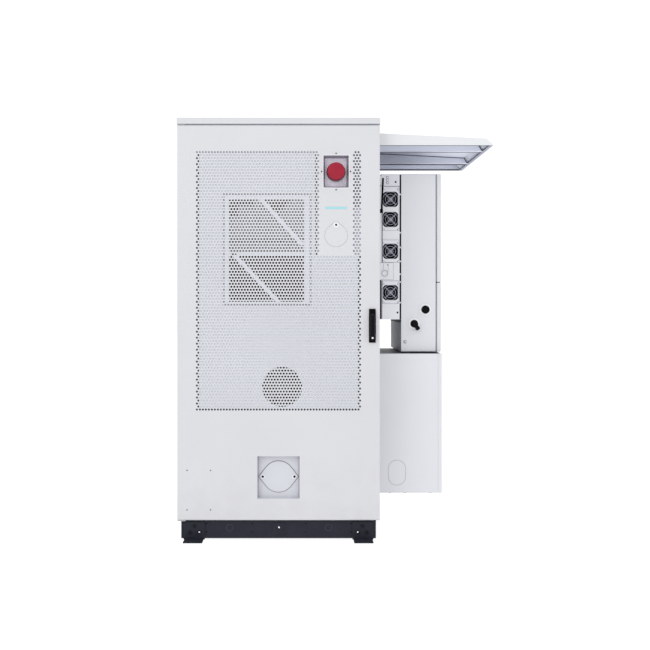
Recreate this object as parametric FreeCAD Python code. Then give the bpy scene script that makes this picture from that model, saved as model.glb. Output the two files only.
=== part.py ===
"""Outdoor battery cabinet with a door-mounted cooling unit, a side-hung inverter, a wiring box and a canopy.

Millimetres. +X is to the right seen from the front, +Y to the back, +Z up. The origin is the centre
of the four floor anchor holes, on the floor.
"""
import FreeCAD, Part
import math
import os

V = FreeCAD.Vector

# Sheet metal and general clearances
SHEET = 2.0
THIN_SHEET = 1.5
RUNNING = 0.05
CLEAR = 0.5
SEAT = 0.3

# Punched field of the door: the rows and columns of holes set its size
HOLE_PITCH = 14.0
HOLE_COLUMNS = 55
HOLE_ROWS = 87
VENT_SIDE = 86.5
VENT_SILL = 512.0
VENT_HEAD = 121.0
BLANK_ROWS = 35
BLANK_FIRST = 41

# Cabinet stack from the floor up, and its depth
FOOT_PLATE = 5.0
PLINTH_HEIGHT = 85.0
DOOR_FLOOR_GAP = 3.0
ROOF_SEAM = 5.0
ROOF_HEIGHT = 29.0
ROOF_OVERHANG = 1.5
ROOF_EDGE_R = 6.0
ROOF_RETURN = 22.0
CABINET_DEPTH = 1050.0

# Door tray
DOOR_DEPTH = 40.0
DOOR_EDGE_R = 8.0
DOOR_BODY_GAP = 8.0
INNER_PANEL_SETBACK = 12.0
BACKING_GAP = 1.0
UNIT_GAP = 10.0
BACKING_MARGIN = HOLE_PITCH
HINGE_INSET_X = 12.0
HINGE_INSET_Y = 16.0
HINGE_PIN_R = 5.0
HINGE_PIN_LENGTH = 26.0
HINGE_PLATE = 4.0
HINGE_BLOCK = 24.0
HINGE_GAP = 0.6
HINGE_PLATE_REACH = 28.0
HINGE_PLATE_NOSE = 10.0

# Plinth and feet
PLINTH_INSET = 17.5
PLINTH_SETBACK = 21.0
PLINTH_WALL = 4.0
PLINTH_FLANGE = 60.0
KNOCKOUT_X = 233.5
KNOCKOUT_RISE = 47.0
KNOCKOUT_R = 16.0
KNOCKOUT_DEEP = 1.0
PLINTH_HOLE_RISES = (25.0, 64.0)
PLINTH_HOLE_INSET = 117.5
PLINTH_HOLE_R = 3.0
CENTRE_PLATE = (64.0, 56.0)
CENTRE_PLATE_RISE = 16.0
FOOT_INSET = 12.0
FOOT_WIDTH = 99.0
FOOT_HEIGHT = 82.0
FOOT_REACH = 78.0
ANCHOR_REACH = 49.0
ANCHOR_R = 7.0
FOOT_BOLT_R = 5.0
FOOT_BOLT_HEAD_R = 8.0
FOOT_BOLT_HEAD = 5.0
FOOT_BOLTS = ((-1.5, 64.0), (19.5, 34.0), (-24.5, 34.0))
FOOT_CORNER_R = 8.0

# Body frame, opening and seal
POST = 40.0
POST_WALL = 3.0
FLOOR_SHEET = 3.0
LIP = 3.0
LIP_REACH = 17.0
SEAL_WIDTH = 10.0
RETURN_FLANGE = 20.0

# Emergency stop
CONTROLS_X = 269.5
ESTOP_HEAD_GAP = 22.0
ESTOP_RECESS = (119.0, 151.0)
ESTOP_DEPTH = 35.0
ESTOP_DRAFT = 9.0
ESTOP_FLANGE = (144.0, 190.0)
ESTOP_FACE_R = 40.0
ESTOP_BASE_R = 45.0
ESTOP_PROUD = 25.0
ESTOP_HEAD = 46.0
ESTOP_EDGE = 3.0
ESTOP_TRAVEL = 8.0
ESTOP_STEM_R = 14.0
ESTOP_COLLAR_R = 26.0
ESTOP_COLLAR = 9.0
ESTOP_SOCKET = 10.0
ESTOP_TAIL = 20.0

# Light strip and service port
STRIP_GAP = 89.3
STRIP = (100.0, 11.4)
PORT_GAP = 59.6
PORT_COVER_R = 52.4
PORT_PIVOT_RISE = 49.1
PORT_TIP_R = 14.0
PORT_R = 40.0
PORT_DEPTH = 22.0
PORT_SCREW_R = 3.0
PORT_SCREW_HEAD_R = 5.5

# Lower recess with its blanking cover
HOSE_RISE = 200.7
HOSE_RECESS = (197.5, 199.0)
HOSE_DEPTH = 30.0
HOSE_DRAFT = 5.0
HOSE_COVER_R = 72.5
HOSE_COVER_EARS = 91.0
HOSE_EAR_R = 8.0
HOSE_SCREW_X = 74.5
HOSE_COVER_SHEET = 3.0

# Cooling unit behind the punched field
COIL_X = (-232.0, 120.0)
COIL_RISE = (511.0, 989.0)
COIL_SPLIT_RISE = 730.0
COLLAR_X = (-251.0, 145.0)
COLLAR_RISE = (503.0, 1008.0)
COLLAR_GAP = 10.0
STRUT_WIDTH = 25.0
OUTER_FAN_X = 17.0
OUTER_FAN_RISE = 113.0
OUTER_FAN_R = 93.6
UNIT_SIDE = 60.0
UNIT_HEAD = 96.0
UNIT_DEPTH = 212.0
INNER_FAN_R = 100.0
INNER_FAN_RISE = 850.0
COIL_DEPTH = 40.0
COIL_GAP = 12.0
COIL_GROOVES = 14
UNIT_FAN_DEPTH = 28.0
UNIT_HUB_R = 36.0
FAN_TIP_GAP = 3.6
FAN_GAP = 5.0
MOTOR_R = 32.0
MOTOR_LENGTH = 34.0
MOTOR_SHAFT_R = 4.0
GRILLE_SLOTS = 7
GRILLE_SLOT = 10.0
GRILLE_RISE = 90.0
STRUTS = (((113.0, 265.0), (-80.0, 478.0)), ((-1.0, 0.0), (-213.0, 226.0)))
COMPRESSOR_X = -180.0
COMPRESSOR_R = 55.0
COMPRESSOR_HEIGHT = 220.0
UNIT_FAN_PITCH = (48.0, 24.0)
BLADE_THICK = 2.0
BLADE_SWEEP = 10.0
BLADE_FILL = 0.92
BLADE_SOLIDITY = 0.75
BLADE_CAMBER = 0.08

# Swing handle and rod lock
HANDLE_INSET = 36.1
HANDLE_RISE = 911.0
HANDLE_BASE = (33.0, 158.0)
HANDLE_BASE_PROUD = 8.0
HANDLE_PIVOT_RISE = 46.0
LEVER_WIDTH = 25.0
LEVER_BELOW = 117.0
LEVER_ABOVE = 15.0
LEVER_THICK = 13.0
LEVER_EDGE = 4.0
LEVER_PIN_DEPTH = 6.5
LEVER_LIFT = 30.0
LEVER_HOLE_DROP = 41.0
LEVER_HOLE_R = 3.0
EYE_R = 5.0
EYE_HALF = 7.0
CROSS_PIN_R = 2.0
CROSS_PIN_HALF = 11.5
SPINDLE_R = 6.0
CAM_PIN_RADIUS = 22.0
CAM_PIN_R = 3.5
CAM_SLOT_CLEAR = 1.1
CAM_THICK = 5.0
ROD_WIDTH = 12.0
ROD_THICK = 6.0
ROD_MARGIN = 4.0
KEY_R = 5.5
KEY_RISE = 14.5
KEEPER_INSET = 44.0
KEEPER_PIN_R = 4.0
KEEPER_PIN_REACH = 28.0
KEEPER_HEIGHT = 40.0
KEEPER_PLAY = 2.0
KEEPER_DEPTH = 13.0
ROD_GAP = 5.0

# Battery rack
RACK_UPRIGHT = (19.0, 40.0)
RACK_MID_UPRIGHT = 30.0
RACK_SIDE_GAP = 3.0
RACK_ROWS = 5
RACK_FRONT_GAP = 50.0
RUNNER = 40.0
PACK_AIR_GAP = 58.0
PACK_FACE = 4.0
CONTROL_BOX_HEIGHT = 250.0
TERMINAL_R = 10.0
TERMINAL_PROUD = 8.0
TERMINAL_DROP = 40.0
LINK = (30.0, 4.0)
PACK_HANDLE_X = 130.0
PACK_HANDLE_REACH = 26.0
BREAKER = (150.0, 110.0)
BREAKER_PROUD = 12.0
SOCKET_R = 16.0
SUPPRESSOR_R = 42.0
SUPPRESSOR_HEIGHT = 240.0
SUPPRESSOR_INSET = 150.0

# Inverter on the right side wall
INVERTER_GAP = 28.0
INVERTER_WIDTH = 530.0
INVERTER_BOTTOM = 868.5
INVERTER_HEIGHT = 880.0
ENCLOSURE_DEPTH = 174.0
COVER_DEPTH = 24.0
COVER_SPLIT_RISE = 344.0
COVER_SEAM = 4.0
HEATSINK_SETBACK = 15.0
ENCLOSURE_WALL = 3.0
CORNER_R = 6.0
HEATSINK_DEPTH = 99.0
HEATSINK_BASE = 8.0
HEATSINK_FOOT = 132.5
FIN_PITCH = 16.0
FIN_THICK = 2.5
FAN_DROPS = (125.0, 225.0, 382.5, 587.0)
FAN_SIZE = 80.0
FAN_OPENING = 76.0
FAN_DEPTH = 25.0
FAN_PANEL_HALF = 55.0
FAN_BORE_R = 38.0
FAN_TIP_R = 36.5
FAN_HUB_R = 16.0
FAN_SHAFT_R = 2.0
FAN_BLADES = 7
FAN_PITCH = (50.0, 30.0)
PLENUM = 15.0
SWITCH_X = 64.2
SWITCH_RISE = 139.1
SWITCH_R = 19.0
KNOB_R = 15.0
KNOB_DEPTH = 20.0
CAP_X = 119.7
CAP_RISE = 208.9
CAP_R = 20.0
EARTH_X = 20.7
EARTH_RISE = 50.0
KNOB_SHAFT_R = 4.0
KNOB_TURN = 25.5
CAP_PROUD = 7.0
LUG_X = 18.0
LUG_DROP = 491.5
LUG_R = 14.0
HOOK_DROP = 13.5
BRACKET_DROPS = (68.5, 620.0)

# Wiring box under the inverter
WIRING_DEPTH = 325.0
WIRING_Y = (-297.0, 235.0)
WIRING_BOTTOM = 176.0
WIRING_GAP = 6.0
WIRING_COVER = 22.0
SLOT_CENTRE_X = 102.5
SLOT = (87.0, 125.0)
SLOT_RISE = 100.5

# Canopy over the inverter
CANOPY_REACH = 549.0
CANOPY_WIDTH = 884.0
CANOPY_DROP = 59.0
CANOPY_WALL = 57.0
CANOPY_FALL = 25.0
CANOPY_BEVEL = 34.0
CANOPY_LIP = 15.0
CANOPY_ARMS = (-264.0, 153.0)
ARM_FLANGE = 31.0

# Antenna on the side wall
ANTENNA_GAP = 45.0
ANTENNA_RISE = 1561.0
ANTENNA_REACH = 26.0
ANTENNA_ROD_R = 4.5
ANTENNA_LENGTH = 162.0
ANTENNA_LEAN = 2.5
KNUCKLE_R = 9.0
KNUCKLE_PIN_R = 2.5
TONGUE = 3.5

# Worked-out planes of the cabinet
VENT_WIDTH = HOLE_PITCH * (HOLE_COLUMNS + 0.5)
VENT_HEIGHT = HOLE_PITCH * HOLE_ROWS
HALF_W = VENT_WIDTH / 2 + VENT_SIDE
FRONT = -CABINET_DEPTH / 2
REAR = CABINET_DEPTH / 2
PLINTH_TOP = FOOT_PLATE + PLINTH_HEIGHT
DOOR_BOTTOM = PLINTH_TOP + DOOR_FLOOR_GAP
VENT_BOTTOM = DOOR_BOTTOM + VENT_SILL
VENT_TOP = VENT_BOTTOM + VENT_HEIGHT
BLANK_X = -VENT_WIDTH / 2 + BLANK_FIRST * HOLE_PITCH
BLANK_Z = VENT_TOP - BLANK_ROWS * HOLE_PITCH
DOOR_TOP = VENT_TOP + VENT_HEAD
ROOF_BOTTOM = DOOR_TOP + ROOF_SEAM
ROOF_TOP = ROOF_BOTTOM + ROOF_HEIGHT
DOOR_BACK = FRONT + DOOR_DEPTH
BODY_FRONT = DOOR_BACK + DOOR_BODY_GAP
SKIN_BACK = FRONT + SHEET
BACKING_FRONT = SKIN_BACK + BACKING_GAP
PANEL_BACK = DOOR_BACK - INNER_PANEL_SETBACK
PANEL_FRONT = PANEL_BACK - THIN_SHEET
FRAME_TOP = DOOR_TOP + HINGE_GAP
WALL_X = HALF_W - SHEET
POST_INNER_X = WALL_X - POST
FLOOR_TOP = PLINTH_TOP + FLOOR_SHEET
HINGE_X = -HALF_W + HINGE_INSET_X
HINGE_Y = FRONT + HINGE_INSET_Y
HINGE_PLATE_BACK = BODY_FRONT + POST
LOW_PLATE_Z = DOOR_BOTTOM - HINGE_GAP - HINGE_PLATE
LIP_FRONT = BODY_FRONT + SHEET - LIP_REACH
ESTOP_Z = VENT_TOP - ESTOP_HEAD_GAP - ESTOP_RECESS[1] / 2
STRIP_Z = ESTOP_Z - ESTOP_RECESS[1] / 2 - STRIP_GAP - STRIP[1] / 2
PORT_Z = STRIP_Z - STRIP[1] / 2 - PORT_GAP - PORT_TIP_R - PORT_PIVOT_RISE
HOSE_Z = DOOR_BOTTOM + HOSE_RISE
OUTER_FAN_Z = VENT_BOTTOM + OUTER_FAN_RISE
INNER_FAN_Z = VENT_BOTTOM + INNER_FAN_RISE
UNIT_BACK = PANEL_BACK + UNIT_DEPTH - THIN_SHEET
UNIT_X0 = COIL_X[0] - UNIT_SIDE
UNIT_X1 = COIL_X[1] + UNIT_SIDE
UNIT_X = (UNIT_X0 + UNIT_X1) / 2
UNIT_Z0 = VENT_BOTTOM + BACKING_MARGIN + THIN_SHEET + CLEAR
UNIT_Z1 = VENT_BOTTOM + COIL_RISE[1] + UNIT_HEAD
UNIT_FRONT = SKIN_BACK + UNIT_GAP + THIN_SHEET
HANDLE_X = HALF_W - HANDLE_INSET
PIVOT_Z = DOOR_BOTTOM + HANDLE_RISE + HANDLE_PIVOT_RISE
ROD_FRONT = SKIN_BACK + ROD_GAP
ROD_BACK = ROD_FRONT + ROD_THICK
ROD_TRAVEL = CAM_PIN_RADIUS * math.sqrt(2)
ROD_X_UPPER = HANDLE_X + (CAM_PIN_RADIUS / math.sqrt(2) + CAM_PIN_RADIUS) / 2
RACK_FRONT = UNIT_BACK + RACK_FRONT_GAP
RACK_REAR = REAR - SHEET - POST - RACK_SIDE_GAP
RACK_TOP = FRAME_TOP - POST - CONTROL_BOX_HEIGHT - RUNNER
RACK_BASE = FLOOR_TOP + RUNNER
ROW_PITCH = (RACK_TOP - RACK_BASE) / RACK_ROWS
INVERTER_X0 = HALF_W + INVERTER_GAP
INVERTER_TOP = INVERTER_BOTTOM + INVERTER_HEIGHT
INVERTER_FRONT = -INVERTER_WIDTH / 2
ANTENNA_Y = INVERTER_FRONT - ANTENNA_GAP
INVERTER_REAR = INVERTER_WIDTH / 2
ENCLOSURE_X0 = INVERTER_X0 + HEATSINK_DEPTH
ENCLOSURE_X1 = ENCLOSURE_X0 + ENCLOSURE_DEPTH
HEATSINK_BOTTOM = INVERTER_TOP - FAN_DROPS[-1] - HEATSINK_FOOT


def block(x0, x1, y0, y1, z0, z1):
    """Box between two opposite corners."""
    return Part.makeBox(x1 - x0, y1 - y0, z1 - z0, V(x0, y0, z0))


def bar_x(y, z, radius, x0, x1):
    """Round bar along X."""
    return Part.makeCylinder(radius, x1 - x0, V(x0, y, z), V(1, 0, 0))


def bar_y(x, z, radius, y0, y1):
    """Round bar along Y."""
    return Part.makeCylinder(radius, y1 - y0, V(x, y0, z), V(0, 1, 0))


def bar_z(x, y, radius, z0, z1):
    """Round bar along Z."""
    return Part.makeCylinder(radius, z1 - z0, V(x, y, z0), V(0, 0, 1))


def prism_y(points, y0, y1):
    """Outline of (x, z) points pulled along Y."""
    corners = [V(x, y0, z) for x, z in points]
    return Part.Face(Part.makePolygon(corners + corners[:1])).extrude(V(0, y1 - y0, 0))


def outline_y(edges, y0, y1):
    """Closed outline of edges in the plane y0 pulled along Y."""
    return Part.Face(Part.Wire(Part.sortEdges(edges)[0])).extrude(V(0, y1 - y0, 0))


def taper_y(x, z, width, height, y0, y1, draft):
    """Rectangular plug along Y that narrows by the draft on every side."""
    sections = []
    for y, inset in ((y0, 0.0), (y1, draft)):
        w = width / 2 - inset
        h = height / 2 - inset
        corners = [V(x - w, y, z - h), V(x + w, y, z - h), V(x + w, y, z + h), V(x - w, y, z + h)]
        sections.append(Part.makePolygon(corners + corners[:1]))
    return Part.makeLoft(sections, True, True)


def centred_y(x, z, width, height, y0, y1):
    """Box centred on (x, z)."""
    return block(x - width / 2, x + width / 2, y0, y1, z - height / 2, z + height / 2)


def stadium_y(x, z, width, height, y0, y1):
    """Upright slot shape with round ends."""
    r = width / 2
    middle = block(x - r, x + r, y0, y1, z - height / 2 + r, z + height / 2 - r)
    ends = [bar_y(x, z + side * (height / 2 - r), r, y0, y1) for side in (-1, 1)]
    return middle.fuse(ends).removeSplitter()


def fillet_edges(shape, radius, test, axis=None):
    """Round every edge whose end points pass the test, or only those along an axis."""
    edges = [edge for edge in shape.Edges if all(test(v.Point) for v in edge.Vertexes)]
    if axis is not None:
        edges = [edge for edge in edges if runs_along(edge, axis)]
    return shape.makeFillet(radius, edges)


def runs_along(edge, axis):
    """Whether a straight edge runs along an axis: 0 for X, 1 for Y, 2 for Z."""
    run = edge.Vertexes[-1].Point.sub(edge.Vertexes[0].Point)
    return run.Length > 0 and math.isclose(abs(run[axis]), run.Length)


def round_along(shape, axis, radius):
    """Round the straight edges that run along an axis."""
    return shape.makeFillet(radius, [edge for edge in shape.Edges if runs_along(edge, axis)])


def hex_y(x, z, radius, y0, y1):
    """Hexagon head along Y."""
    corners = [(x + radius * math.cos(math.radians(turn)), z + radius * math.sin(math.radians(turn)))
               for turn in range(0, 360, 60)]
    return prism_y(corners, y0, y1)


def mirrored(shape):
    """Copy on the other side of the centre plane."""
    return shape.mirror(V(0, 0, 0), V(1, 0, 0))


def all_corners(shapes):
    """Each shape with its copies mirrored left to right and front to back."""
    pairs = [copy for shape in shapes for copy in (shape, mirrored(shape))]
    return [copy for shape in pairs for copy in (shape, shape.mirror(V(0, 0, 0), V(0, 1, 0)))]


def faceted(first, second):
    """Solid between two outlines of one count, its twisted sides split into flat triangles."""
    loops = [first, second]
    for i, start in enumerate(first):
        j = (i + 1) % len(first)
        loops += [[start, first[j], second[j]], [start, second[j], second[i]]]
    solid = Part.makeSolid(Part.makeShell([Part.Face(Part.makePolygon(loop + loop[:1])) for loop in loops]))
    if solid.Volume < 0:
        solid.reverse()
    return solid


def capped_can(x, y, radius, z0, z1):
    """Upright can with a sloped shoulder."""
    shoulder = radius / 3
    top = Part.makeCone(radius, radius - shoulder, shoulder, V(x, y, z1 - shoulder))
    return bar_z(x, y, radius, z0, z1 - shoulder).fuse(top)


def tube(x0, x1, y0, y1, z0, z1, axis, wall):
    """Rectangular tube open at both ends along an axis."""
    inset = [wall] * 3
    inset[axis] = 0.0
    hollow = block(x0 + inset[0], x1 - inset[0], y0 + inset[1], y1 - inset[1], z0 + inset[2], z1 - inset[2])
    return block(x0, x1, y0, y1, z0, z1).cut(hollow)


def save(name, *solids):
    """Write one node; several solids stay separate inside it."""
    shape = solids[0] if len(solids) == 1 else Part.makeCompound(list(solids))
    shape.exportStep("parts/" + name + ".step")


# Plinth and feet
def foot_bolt_places():
    """(x, z) of the bolts of the right front bracket."""
    centre = HALF_W - PLINTH_INSET - FOOT_INSET - FOOT_WIDTH / 2
    return [(centre + dx, z) for dx, z in FOOT_BOLTS]


def hinge_plate(z0, z1):
    """Plate under or over the door corner that carries a hinge pin."""
    return block(-WALL_X, HINGE_X + HINGE_PLATE_REACH, HINGE_Y - HINGE_PLATE_NOSE, HINGE_PLATE_BACK, z0, z1)


def plinth():
    half_w = HALF_W - PLINTH_INSET
    face = FRONT + PLINTH_SETBACK
    inside = face + PLINTH_FLANGE
    channel_z = (FOOT_PLATE + PLINTH_WALL, PLINTH_TOP - PLINTH_WALL)
    beam = block(-half_w, half_w, face, inside, FOOT_PLATE, PLINTH_TOP)
    beam = beam.cut(block(-half_w, half_w, face + PLINTH_WALL, inside, *channel_z))
    holes = []
    for side in (-1, 1):
        knockout_z = FOOT_PLATE + KNOCKOUT_RISE
        holes.append(bar_y(side * KNOCKOUT_X, knockout_z, KNOCKOUT_R, face, face + KNOCKOUT_DEEP))
        for rise in PLINTH_HOLE_RISES:
            hole_x = side * (half_w - PLINTH_HOLE_INSET)
            holes.append(bar_y(hole_x, FOOT_PLATE + rise, PLINTH_HOLE_R, face, face + PLINTH_WALL))
        for x, z in foot_bolt_places():
            holes.append(bar_y(side * x, z, FOOT_BOLT_R, face, face + PLINTH_WALL))
    beam = beam.cut(holes)
    rear_beam = beam.mirror(V(0, 0, 0), V(0, 1, 0))
    seat = hinge_plate(LOW_PLATE_Z, LOW_PLATE_Z + HINGE_PLATE)
    pieces = [beam.cut(seat), rear_beam]
    for side in (-1, 1):
        outer = sorted((side * half_w, side * (half_w - PLINTH_FLANGE)))
        inner = sorted((side * (half_w - PLINTH_WALL), side * (half_w - PLINTH_FLANGE)))
        channel = block(*outer, inside, -inside, FOOT_PLATE, PLINTH_TOP)
        channel = channel.cut(block(*inner, inside, -inside, *channel_z))
        pieces.append(channel.cut(seat))
    plate_z = FOOT_PLATE + CENTRE_PLATE_RISE + CENTRE_PLATE[1] / 2
    plate = centred_y(0, plate_z, *CENTRE_PLATE, face - SHEET, face)
    plate = round_along(plate, 1, CORNER_R)
    pieces.append(plate.cut(bar_y(0, plate_z, FOOT_BOLT_R, face - SHEET, face)))
    save("plinth", *pieces)


def feet():
    face = FRONT + PLINTH_SETBACK
    outer = HALF_W - PLINTH_INSET - FOOT_INSET
    inner = outer - FOOT_WIDTH
    upright = block(inner, outer, face - FOOT_PLATE, face, 0, FOOT_HEIGHT)
    upright = fillet_edges(upright, FOOT_CORNER_R, lambda p: p.z > FOOT_HEIGHT - CLEAR, 1)
    flange = block(inner + FOOT_PLATE, outer - FOOT_PLATE, face - FOOT_REACH, face - FOOT_PLATE,
                   0, FOOT_PLATE)
    bracket = upright.fuse(flange).removeSplitter()
    bracket = bracket.cut(bar_z((inner + outer) / 2, face - ANCHOR_REACH, ANCHOR_R, 0, FOOT_PLATE))
    bolts = []
    for x, z in foot_bolt_places():
        bracket = bracket.cut(bar_y(x, z, FOOT_BOLT_R, face - FOOT_PLATE, face))
        seat = face - FOOT_PLATE
        bolt_head = hex_y(x, z, FOOT_BOLT_HEAD_R, seat - FOOT_BOLT_HEAD, seat)
        bolts.append(bolt_head.fuse(bar_y(x, z, FOOT_BOLT_R, seat, face + PLINTH_WALL + FOOT_BOLT_HEAD)))
    save("foot_brackets", *all_corners([bracket]))
    save("foot_bolts", *all_corners(bolts))


# Cabinet body
def body():
    inner_y = REAR - SHEET
    body_y = BODY_FRONT + SHEET
    pan = block(-WALL_X, WALL_X, body_y, inner_y, PLINTH_TOP, FLOOR_TOP)
    save("floor_pan", pan.cut(hinge_plate(LOW_PLATE_Z, LOW_PLATE_Z + HINGE_PLATE)))
    pieces = []
    rear_post_y = inner_y - POST
    for side in (-1, 1):
        x0, x1 = sorted((side * WALL_X, side * POST_INNER_X))
        for y in (body_y, rear_post_y):
            pieces.append(tube(x0, x1, y, y + POST, FLOOR_TOP, FRAME_TOP, 2, POST_WALL))
        for z in (FLOOR_TOP, FRAME_TOP - POST):
            pieces.append(tube(x0, x1, body_y + POST, rear_post_y, z, z + POST, 1, POST_WALL))
    for y in (body_y, rear_post_y):
        for z in (FLOOR_TOP, FRAME_TOP - POST):
            pieces.append(tube(-POST_INNER_X, POST_INNER_X, y, y + POST, z, z + POST, 0, POST_WALL))
    save("body_frame", *pieces)
    side_panel = block(WALL_X, HALF_W, BODY_FRONT, REAR, PLINTH_TOP, ROOF_BOTTOM)
    front_return = block(HALF_W - RETURN_FLANGE, WALL_X, BODY_FRONT, body_y,
                         LOW_PLATE_Z + HINGE_PLATE + CLEAR, DOOR_TOP)
    side_panel = side_panel.fuse(front_return).removeSplitter()
    save("side_panel_right", side_panel)
    save("side_panel_left", mirrored(side_panel))
    save("rear_panel", block(-WALL_X, WALL_X, inner_y, REAR, PLINTH_TOP, ROOF_BOTTOM))


def roof():
    x = HALF_W + ROOF_OVERHANG
    y = REAR + ROOF_OVERHANG
    cap = block(-x, x, -y, y, ROOF_BOTTOM, ROOF_TOP)
    cap = fillet_edges(cap, ROOF_EDGE_R, lambda p: p.z > ROOF_TOP - CLEAR)
    hollow = block(-x + SHEET, x - SHEET, -y + SHEET, y - SHEET, ROOF_BOTTOM + SHEET, ROOF_TOP - SHEET)
    mouth_x = x - ROOF_RETURN
    mouth_y = y - ROOF_RETURN
    mouth = block(-mouth_x, mouth_x, -mouth_y, mouth_y, ROOF_BOTTOM, ROOF_BOTTOM + SHEET)
    save("roof_cap", cap.cut([hollow, mouth]))


def door_opening():
    """Rain lips round the opening, and the seal strips on their edges."""
    low = FLOOR_TOP + POST
    high = FRAME_TOP - POST
    lip_y = (LIP_FRONT, BODY_FRONT + SHEET + POST)
    seal_y = (PANEL_BACK + SEAT, LIP_FRONT)
    x = POST_INNER_X
    lips = [
        block(-x, -x + LIP, *lip_y, low, high),
        block(x - LIP, x, *lip_y, low, high),
        block(-x + LIP, x - LIP, *lip_y, low, low + LIP),
        block(-x + LIP, x - LIP, *lip_y, high - LIP, high),
    ]
    save("door_surround", *lips)
    over = (SEAL_WIDTH - LIP) / 2
    seal_x = x - LIP - over
    seals = [
        block(-x - over, -seal_x, *seal_y, low - over, high + over),
        block(seal_x, x + over, *seal_y, low - over, high + over),
        block(-seal_x, seal_x, *seal_y, low - over, low + LIP + over),
        block(-seal_x, seal_x, *seal_y, high - LIP - over, high + over),
    ]
    save("door_seal", *seals)


def frame_hardware():
    """Pivot plates with their pins at the left corners, and the rod keepers on the right."""
    pieces = []
    low_top = LOW_PLATE_Z + HINGE_PLATE
    for plate_z, pin_z in ((LOW_PLATE_Z, LOW_PLATE_Z), (FRAME_TOP, DOOR_TOP - HINGE_PIN_LENGTH)):
        plate = hinge_plate(plate_z, plate_z + HINGE_PLATE)
        plate = fillet_edges(plate, FOOT_CORNER_R, lambda p: p.y < HINGE_Y and p.x > HINGE_X, 2)
        top = low_top + HINGE_PIN_LENGTH if plate_z == LOW_PLATE_Z else plate_z + HINGE_PLATE
        pieces.append(plate.fuse(bar_z(HINGE_X, HINGE_Y, HINGE_PIN_R, pin_z, top)).removeSplitter())
    for z in keeper_heights():
        x = ROD_X_UPPER
        half = KEEPER_PIN_R + KEEPER_PLAY
        outer = block(x - half - LIP, x + half + LIP, BODY_FRONT - KEEPER_DEPTH, BODY_FRONT,
                      z - KEEPER_HEIGHT / 2, z + KEEPER_HEIGHT / 2)
        notch = block(x - half, x + half, BODY_FRONT - KEEPER_DEPTH, BODY_FRONT - LIP,
                      z - KEEPER_HEIGHT / 2, z + KEEPER_HEIGHT / 2)
        pieces.append(outer.cut(notch))
    save("hinges_and_keepers", *pieces)


def keeper_heights():
    """Heights of the lower and upper rod pins at rest."""
    return (DOOR_BOTTOM + KEEPER_INSET, DOOR_TOP - KEEPER_INSET)


# Battery rack and what stands in the cabinet
def rack_planes():
    """Side planes of the two columns: outer upright, its inner face, middle upright face."""
    outer = POST_INNER_X - RACK_SIDE_GAP
    return outer, outer - RACK_UPRIGHT[0], RACK_MID_UPRIGHT / 2


def rack():
    outer, column_out, column_in = rack_planes()
    depth = RACK_UPRIGHT[1]
    pieces = []
    for y in (RACK_FRONT, RACK_REAR - depth):
        pieces.append(tube(-column_in, column_in, y, y + depth, FLOOR_TOP, RACK_TOP, 2, SHEET))
        for side in (-1, 1):
            x0, x1 = sorted((side * column_out, side * outer))
            pieces.append(tube(x0, x1, y, y + depth, FLOOR_TOP, RACK_TOP, 2, SHEET))
    for row in range(RACK_ROWS):
        z = RACK_BASE + row * ROW_PITCH
        for face, way in ((column_out, -1), (column_in, 1)):
            ledge = block(0, RUNNER, RACK_FRONT, RACK_REAR, z - POST_WALL, z)
            web = block(0, POST_WALL, RACK_FRONT, RACK_REAR, z - RUNNER, z - POST_WALL)
            runner = ledge.fuse(web).removeSplitter()
            if way < 0:
                runner = mirrored(runner)
            runner.translate(V(face, 0, 0))
            pieces += [runner, mirrored(runner)]
    save("battery_rack", *pieces)


def battery_pack(row):
    """Right-hand pack of a row: case, face plate, two handles and two terminals."""
    _, column_out, column_in = rack_planes()
    z0 = RACK_BASE + row * ROW_PITCH
    z1 = z0 + ROW_PITCH - PACK_AIR_GAP
    middle = (column_out + column_in) / 2
    case = block(column_in + SHEET, column_out - SHEET, RACK_FRONT, RACK_REAR - RUNNER, z0, z1)
    face_front = RACK_FRONT - PACK_FACE
    face = block(column_in - PACK_FACE, column_out + PACK_FACE, face_front, RACK_FRONT, z0, z1)
    extras = [face]
    for side in (-1, 1):
        x = middle + side * PACK_HANDLE_X
        reach = face_front - PACK_HANDLE_REACH
        low = z0 + ROW_PITCH / 4
        high = z1 - ROW_PITCH / 4
        grip = block(x - PACK_FACE, x + PACK_FACE, reach, face_front, low, high)
        window = block(x - PACK_FACE, x + PACK_FACE, reach + 2 * PACK_FACE, face_front,
                       low + 2 * PACK_FACE, high - 2 * PACK_FACE)
        extras.append(grip.cut(window))
    for z in (z0 + TERMINAL_DROP, z1 - TERMINAL_DROP):
        extras.append(bar_y(middle, z, TERMINAL_R, face_front - TERMINAL_PROUD, face_front))
    return case.fuse(extras).removeSplitter()


def batteries():
    packs = [battery_pack(row) for row in range(RACK_ROWS)]
    save("battery_packs", *packs, *[mirrored(pack) for pack in packs])
    _, column_out, column_in = rack_planes()
    middle = (column_out + column_in) / 2
    back = RACK_FRONT - PACK_FACE - TERMINAL_PROUD
    links = []
    for row in range(RACK_ROWS - 1):
        low = RACK_BASE + (row + 1) * ROW_PITCH - PACK_AIR_GAP - TERMINAL_DROP
        high = RACK_BASE + (row + 1) * ROW_PITCH + TERMINAL_DROP
        link = stadium_y(middle, (low + high) / 2, LINK[0], high - low + LINK[0], back - LINK[1], back)
        links += [link, mirrored(link)]
    save("busbar_links", *links)


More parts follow.
